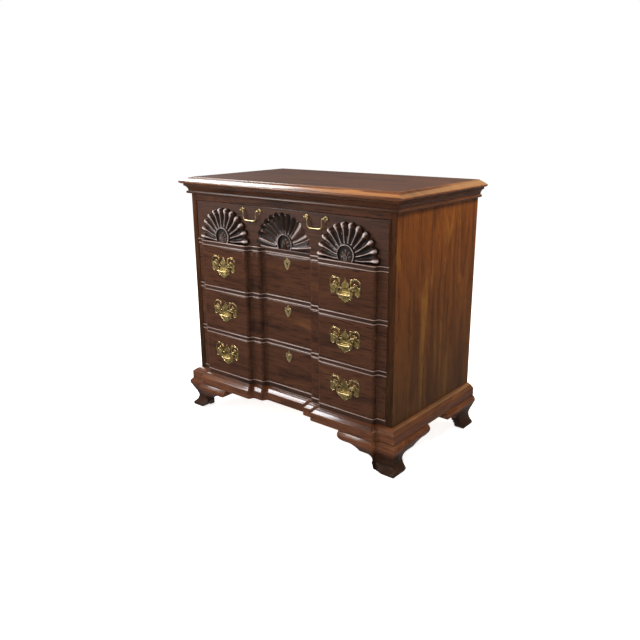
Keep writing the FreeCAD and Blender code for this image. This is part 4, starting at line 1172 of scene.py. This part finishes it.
def lobe_field(eye, foot, radius, lobe_radius, lobes, first, low_turn, stations, sign, steps):
    """Rows of points over the lobes from the ring about eye to the scalloped rim.

    The lobes stand round foot from first degrees on, and start round the ring from low_turn.
    """
    ring = bpy.context.scene.chest_carving.ring_radius
    low_turn = math.radians(low_turn)
    count = lobes * LOBE_COLUMNS
    pitch = math.radians(180 - 2 * first) / lobes
    sunk = sign > 0
    rows = []
    for step in range(steps + 1):
        t = step / steps
        row = []
        for j in range(count + 1):
            phase = (j % LOBE_COLUMNS) / LOBE_COLUMNS
            swing = (phase - 0.5) * pitch
            across = radius * math.sin(swing)
            reach = radius * math.cos(swing) + math.sqrt(max(lobe_radius ** 2 - across ** 2, 0))
            outward = facing_out(math.radians(first) + pitch * j / LOBE_COLUMNS)
            tip = foot + outward * reach
            away = facing_out(low_turn + (math.pi - 2 * low_turn) * j / count)
            start = eye + away * ring
            span = (tip - start).length
            lean = away * LOBE_AWAY + (tip - start).normalized() * LOBE_LEAN
            a = start + lean.normalized() * span * LOBE_HANDLE
            b = tip - outward * span * LOBE_HANDLE
            point = (start * (1 - t) ** 3 + a * 3 * t * (1 - t) ** 2 + b * 3 * t * t * (1 - t)
                     + tip * t ** 3)
            crest, valley, narrow = (eased(stations, t, column) for column in (1, 2, 3))
            at_end = sunk and (j < LOBE_COLUMNS or j > count - LOBE_COLUMNS)
            if at_end:
                crest = min(SUNK_RIDGE, valley)
            hump = 0.5 - 0.5 * math.cos(2 * math.pi * phase)
            depth = valley + (crest - valley) * hump ** narrow
            row.append(with_wear_and_painted_light((point.x, FRONT + sign * depth, point.z),
                            lobe_wear_and_painted_light(t, hump, narrow, sunk, at_end)))
        rows.append(row)
    return rows


def palmette(u, w, size):
    """Height, up to 1, of a small leaf of five lobes and two scrolls, at (u, w) from its foot."""
    height = 0.0
    reach = math.hypot(u, w)
    turn = math.atan2(w, u)
    for k, longer in enumerate(LEAVES):
        lean = math.radians(LEAF_FIRST + LEAF_APART * k)
        off = abs(math.atan2(math.sin(turn - lean), math.cos(turn - lean)))
        along = reach / (size * longer)
        if along < 1:
            body = math.sin(math.pi * along ** LEAF_BELLY)
            height = max(height, body * math.exp(-(off / LEAF_W) ** 2))
    for side in (-1, 1):
        away = math.hypot(u - side * size * SCROLL_X, w + size * SCROLL_DOWN)
        off = (away - size * SCROLL_R) / (size * SCROLL_W)
        height = max(height, SCROLL_RISE * math.exp(-off ** 2))
    return height


def eye_field(eye, directions, sign, dish, outside, bulge):
    """Rows of points over the dish and the bead of the ring round it, from the middle out."""
    carving = bpy.context.scene.chest_carving
    inner = carving.ring_radius - carving.ring_width
    rows = []
    for k in range(DISH_ROWS + 1):
        share = k / DISH_ROWS
        row = []
        for away in directions:
            u, w = away.x * inner * share, away.z * inner * share
            leaf = palmette(u, w + inner * LEAF_DROP, inner * LEAF_SIZE)
            leaf *= 1 - share ** LEAF_FADE
            # the leaf painted pale as a highlight, the dish round it with grime and painted shade
            row.append(with_wear_and_painted_light(eye + Vector((u, sign * dish - LEAF_RISE * leaf, w)),
                            2 * LEAF_WEAR_AND_LIGHT * leaf - LEAF_WEAR_AND_LIGHT))
        rows.append(row)
    for k in range(1, RING_ROWS + 1):
        share = k / RING_ROWS
        reach = inner + carving.ring_width * share
        rise = math.sin(math.pi * share) ** RING_FULLNESS
        level = sign * (dish + (outside - dish) * share) - bulge * rise
        # the ring's crest painted pale as a highlight, its sides with painted shade
        rows.append([with_wear_and_painted_light(eye + Vector((away.x * reach, level, away.z * reach)), 2 * rise - 1)
                     for away in directions])
    return rows


def shell_centres(x):
    """The middles of a shell's ring and of its scalloped outline, on the front at x."""
    carving = bpy.context.scene.chest_carving
    opening_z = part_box("divider_1")[1].z
    return (Vector((x, FRONT, opening_z + carving.ring_height)),
            Vector((x, FRONT, opening_z + carving.foot)))


def directions_to(points, eye):
    """Directions on the front from the ring's middle to each of the points."""
    return [(Vector((p.x, FRONT, p.z)) - eye).normalized() for p in points]


def on_sill(row, sill_z):
    """The row of points, none under the sill, with one more on it at either end."""
    first, last = row[0].copy(), row[-1].copy()
    first.z = last.z = sill_z
    row = [first, *row, last]
    for point in row:
        point.z = max(point.z, sill_z)
    return row


class OBJECT_OT_chest_raised_shells(bpy.types.Operator):
    """The pair of raised shells on the first drawer"""

    bl_idname = "object.chest_raised_shells"
    bl_label = "Raised shells"

    def execute(self, context):
        carving = context.scene.chest_carving
        eye, foot = shell_centres(block_middle())
        lobes = lobe_field(eye, foot, carving.radius, carving.lobe_radius, carving.lobes,
                           first=-2.5, low_turn=-35.5, stations=RAISED, sign=-1, steps=44)
        rows = eye_field(eye, directions_to(lobes[0], eye), sign=-1, dish=0.0165,
                         outside=RAISED[0][2], bulge=0.0070)
        sill_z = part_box("shells_convex")[0].z
        shell = field("shell_right_carved", [on_sill(row, sill_z) for row in rows + lobes[1:]])
        close_at(shell, FRONT)
        done_with_twin(shell, "shell_left_carved", "drawer_1", "mahogany_carved", "mahogany",
                       "shells_convex", CARVED_ANGLE)
        return {"FINISHED"}


class OBJECT_OT_chest_sunk_shell(bpy.types.Operator):
    """The first drawer's front, with the sunk shell carved into it"""

    bl_idname = "object.chest_sunk_shell"
    bl_label = "Carved drawer front"

    beside = (-36.5, -34, -31.5, -29)       # turns in degrees under the lowest flute
    beside_depth, beside_rise = 0.0075, 0.0015      # of the ground there, and up to the flute
    sill_drop = 0.002                       # of the carving, past the board's lower edge

    def execute(self, context):
        carving = context.scene.chest_carving
        low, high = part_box("drawer_1_front")
        board = block("drawer_1_front_carved", (low.x, FRONT, low.z), high)
        soften(board, BOARD_ARRIS)
        sill_z = low.z - self.sill_drop
        eye, foot = shell_centres(0)
        lobes = lobe_field(eye, foot, carving.hollow_radius, carving.hollow_lobe_radius,
                           carving.hollows, first=2.0, low_turn=-26.0, stations=SUNK, sign=1,
                           steps=40)
        arc = [facing_out(math.radians(a)) for a in self.beside]
        directions = (arc + directions_to(lobes[0], eye)
                      + [Vector((-a.x, 0, a.z)) for a in reversed(arc)])
        rows = eye_field(eye, directions, sign=1, dish=0.0120, outside=SUNK[0][2],
                         bulge=0.0062)
        for row in lobes[1:]:
            right = []
            for k in range(len(arc)):
                share = (k + 0.5) / len(arc)
                right.append(with_wear_and_painted_light((row[0].x, FRONT + self.beside_depth - self.beside_rise * share,
                                   sill_z + (row[0].z - sill_z) * share), 0))
            left = [with_wear_and_painted_light((-p.x, p.y, p.z), 0) for p in reversed(right)]
            rows.append(right + row + left)
        flutes = field("flutes", [on_sill(row, sill_z) for row in rows])
        close_at(flutes, FRONT - PAST)
        cut(board, flutes)
        cut_sockets(board, 1)
        done(board, "drawer_1", "mahogany_carved", "mahogany", "drawer_1_front", CARVED_ANGLE)
        wear = board.data.attributes["wear"]
        for vertex in board.data.vertices:
            if vertex.co.y < FRONT + 0.1 * MM:
                wear.data[vertex.index].value = 0
        return {"FINISHED"}


# ---- brasses --------------------------------------------------------------------------------
class OBJECT_OT_chest_plates(bpy.types.Operator):
    """Pierced backplates and keyhole escutcheons"""

    bl_idname = "object.chest_plates"
    bl_label = "Plates"

    rim, key_rim = 0.0013, 0.0010       # widths of the flats round a plate and an escutcheon
    # the field's mark turns it brown: aged oxide and a painted dark reflection
    sunk, sunk_wear = 0.0007, -0.8      # of the field inside them

    def cast_plate(self, name, middle, face_y, outlines, rim):
        """A plate from closed outlines, the first one its outside, with rims round a sunk field."""
        brass = bpy.context.scene.chest_brass
        edge_r = brass.plate / 2
        clear_selection()
        bpy.ops.curve.primitive_bezier_circle_add()
        data = bpy.context.object.data
        data.splines.clear()
        data.dimensions = "2D"
        data.fill_mode = "BOTH"
        data.offset = -edge_r
        data.bevel_depth = edge_r
        data.bevel_resolution = 2
        for outline in outlines:
            spline = data.splines.new("POLY")
            spline.points.add(len(outline) - 1)
            for point, (x, z) in zip(spline.points, outline):
                point.co = (x, z, 0, 1)
            spline.use_cyclic_u = True
        bpy.ops.object.convert(target="MESH")
        plate = bpy.context.object
        plate.name = name
        pick(plate)
        edit_all()
        bpy.ops.mesh.remove_doubles(threshold=MERGE)
        bpy.ops.mesh.normals_make_consistent(inside=False)
        bpy.ops.mesh.select_mode(type="FACE")
        bpy.ops.mesh.select_all(action="DESELECT")
        bpy.ops.object.mode_set(mode="OBJECT")
        for face in plate.data.polygons:
            face.select = face.normal.z > 0.99      # the flats, which face up until the end
        bpy.ops.object.mode_set(mode="EDIT")
        bpy.ops.mesh.inset(thickness=rim, depth=0, use_even_offset=False)
        bpy.ops.mesh.inset(thickness=self.sunk, depth=-self.sunk, use_even_offset=False)
        bpy.ops.mesh.select_mode(type="VERT")
        bpy.ops.object.mode_set(mode="OBJECT")
        wear = add_wear_and_painted_light(plate)
        for vertex in plate.data.vertices:
            x, z, out = vertex.co
            wear.data[vertex.index].value = self.sunk_wear if vertex.select else out / edge_r
            vertex.co = (middle.x + x, face_y - edge_r - out, middle.z + z)
        edit_all()
        face_outward()
        return plate

    def both_halves(self, half):
        """The closed outline whose right half is given from top to bottom."""
        return [(x, z) for x, z in half] + [(-x, z) for x, z in reversed(half[1:-1])]

    def round_hole(self, x, z, radius, count=14):
        """(x, z) round a hole."""
        turns = [2 * math.pi * i / count for i in range(count)]
        return [(x + radius * math.cos(turn), z + radius * math.sin(turn)) for turn in turns]

    def execute(self, context):
        plan = context.scene.chest_blocking
        outlines = [self.both_halves(smooth(PLATE, 3))]
        for sign in SIDES.values():
            for shape in (CRESCENT, SIDE_PIERCING):
                loop = smooth([*shape, shape[0]], 3)[:-1]
                outlines.append([(sign * x, z) for x, z in loop])
            for x, z, radius in PENDANT_PIERCINGS:
                outlines.append(self.round_hole(sign * x, z, radius))
        key = self.both_halves(smooth(ESCUTCHEON, 3))
        for number in DRAWERS[1:]:
            name, body = "drawer_%d_plates" % number, "drawer_%d" % number
            pivot_z = pivot("drawer_%d_bail_right_swing" % number)[2]
            for side, sign in SIDES.items():
                plate = self.cast_plate("drawer_%d_backplate_%s" % (number, side),
                                        Vector((sign * block_middle(), 0, pivot_z)),
                                        FRONT - plan.block_out, outlines, self.rim)
                done(plate, body, "brass_cast", "brass", name)
            plate = self.cast_plate("drawer_%d_escutcheon" % number,
                                    Vector((0, 0, keyhole_eye(number))),
                                    FRONT + plan.recess_depth, [key, keyhole()], self.key_rim)
            done(plate, body, "brass", "brass", name)
        return {"FINISHED"}


def pivot(name):
    """(x, y, z) of a point on the joint's axis."""
    return next(joint for joint in frame["joints"] if joint["name"] == name)["pos_m"]


def turned(name, centre, profile, sides=28, petals=0):
    """A turning along Y through (how far in front of centre, radius), scalloped by petals."""
    sections = []
    for out, radius in profile:
        loop = []
        for i in range(sides):
            turn = 2 * math.pi * i / sides
            reach = radius
            if petals:
                reach *= (1 - PETAL * math.cos(petals * turn)) / (1 + PETAL)
            loop.append(centre + Vector((reach * math.cos(turn), -out, reach * math.sin(turn))))
        sections.append(loop)
    return swept(name, sections)


class OBJECT_OT_chest_pulls(bpy.types.Operator):
    """Posts and bails of the pulls"""

    bl_idname = "object.chest_pulls"
    bl_label = "Pulls"

    first_half, half = 0.040, 0.039         # half the distance between a pull's posts
    head_past = 0.0035                      # of a post, in front of the bail's pins
    pin_in, rod_in = 0.006, 0.007           # from a post, where the pin ends and the rod starts
    thinner = 0.22                          # share that a bail loses from middle to ends

    def rod(self, name, points, radii, y, sides=12):
        """A round rod along (x, z) points, mitred where it turns."""
        sections = []
        last = len(points) - 1
        for i, (x, z) in enumerate(points):
            x0, z0 = points[max(i - 1, 0)]
            x1, z1 = points[min(i + 1, last)]
            along = Vector((x1 - x0, 0, z1 - z0)).normalized()
            across = Vector((-along.z, 0, along.x))
            loop = []
            for k in range(sides):
                angle = 2 * math.pi * k / sides
                loop.append(Vector((x, y, z)) + across * radii[i] * math.cos(angle)
                            + Vector((0, 1, 0)) * radii[i] * math.sin(angle))
            sections.append(loop)
        return swept(name, sections)

    def post(self, x, y, z, seat, flowered):
        """The pieces of a post at the bail's pin, with its head in front of seat."""
        centre = Vector((x, seat, z))
        inside = FRONT + FRONT_T + SHANK_PAST
        scale = (seat - y + self.head_past) / KNOB[-1][0]
        head = [(0, 0)] + [(out * scale, r) for out, r in smooth(KNOB, 4)]
        pieces = [turned("post", centre, head + [(KNOB[-1][0] * scale, 0)])]
        if flowered:
            flower = [(0, 0)] + [tuple(p) for p in smooth(ROSETTE, 3)] + [(ROSETTE_T, 0)]
            pieces.append(turned("rosette", centre, flower, sides=48, petals=6))
        shank = [(0, 0), (0, SHANK_R), (inside - seat, SHANK_R), (inside - seat, 0)]
        for name, profile, sides in (("shank", shank, 16), ("nut", NUT, 6)):
            pieces.append(turned(name, Vector((x, inside, z)), profile, sides))
        return pieces

    def bail(self, name, x0, y0, z0, half, bend):
        """A bail whose pins reach into posts half to each side of x0."""
        brass = bpy.context.scene.chest_brass
        run = [(half - dx, dz) for dx, dz in BAIL_PIN + bend]
        straight = len(BAIL_PIN) - 1
        run = run[:straight] + [tuple(p) for p in smooth(run[straight:], 5)]
        radii = []
        for x, z in run:
            share = min(abs(x) / (half - self.rod_in), 1.0)
            radii.append(brass.pin if x > half - self.pin_in
                         else brass.rod * (1.0 - self.thinner * share ** 3))
        points = [(x0 + x, z0 + z) for x, z in run]
        points += [(x0 - x, z0 + z) for x, z in reversed(run[:-1])]
        return self.rod(name, points, radii + radii[-2::-1], y0)

    def execute(self, context):
        plate_y = FRONT - context.scene.chest_blocking.block_out - context.scene.chest_brass.plate
        for number in DRAWERS:
            first = number == 1
            half = self.first_half if first else self.half
            posts = []
            for side in SIDES:
                body = "drawer_%d_bail_%s" % (number, side)
                x, y, z = pivot(body + "_swing")
                for end in (-half, half):
                    posts += self.post(x + end, y, z, FRONT if first else plate_y, first)
                bail = self.bail(body + "_cast", x, y, z, half, LOOP_BAIL if first else SWAN_BAIL)
                done(bail, body, "brass", "brass", body, PULL_ANGLE)
            group = joined(posts)
            group.name = "drawer_%d_posts_turned" % number
            done(group, "drawer_%d" % number, "brass", "brass", "drawer_%d_posts" % number,
                 PULL_ANGLE)
        return {"FINISHED"}


SETTINGS = {"chest_blocking": ChestBlocking, "chest_carving": ChestCarving,
            "chest_brass": ChestBrass, "chest_finish": ChestFinish}
STEPS = (
    OBJECT_OT_chest_stage, OBJECT_OT_chest_case, OBJECT_OT_chest_top,
    OBJECT_OT_chest_bed_moulding, OBJECT_OT_chest_rails, OBJECT_OT_chest_base,
    OBJECT_OT_chest_feet, OBJECT_OT_chest_fronts, OBJECT_OT_chest_boxes,
    OBJECT_OT_chest_sunk_shell, OBJECT_OT_chest_raised_shells, OBJECT_OT_chest_plates,
    OBJECT_OT_chest_pulls)


class VIEW3D_PT_chest(bpy.types.Panel):
    """The chest's steps and sizes"""

    bl_label = "Block front chest"
    bl_idname = "VIEW3D_PT_chest"
    bl_space_type = "VIEW_3D"
    bl_region_type = "UI"
    bl_category = "Chest"

    def draw(self, context):
        for group in SETTINGS:
            settings = getattr(context.scene, group)
            column = self.layout.column()
            for name in settings.__annotations__:
                column.prop(settings, name)
        for step in STEPS:
            self.layout.operator(step.bl_idname)


CLASSES = (*SETTINGS.values(), *STEPS, VIEW3D_PT_chest)


def register():
    for each in CLASSES:
        bpy.utils.register_class(each)
    for name, group in SETTINGS.items():
        setattr(bpy.types.Scene, name, bpy.props.PointerProperty(type=group))


def unregister():
    for name in SETTINGS:
        delattr(bpy.types.Scene, name)
    for each in reversed(CLASSES):
        bpy.utils.unregister_class(each)


def main():
    register()
    for step in STEPS:
        category, name = step.bl_idname.split(".")
        getattr(getattr(bpy.ops, category), name)()


if __name__ == "__main__":
    main()
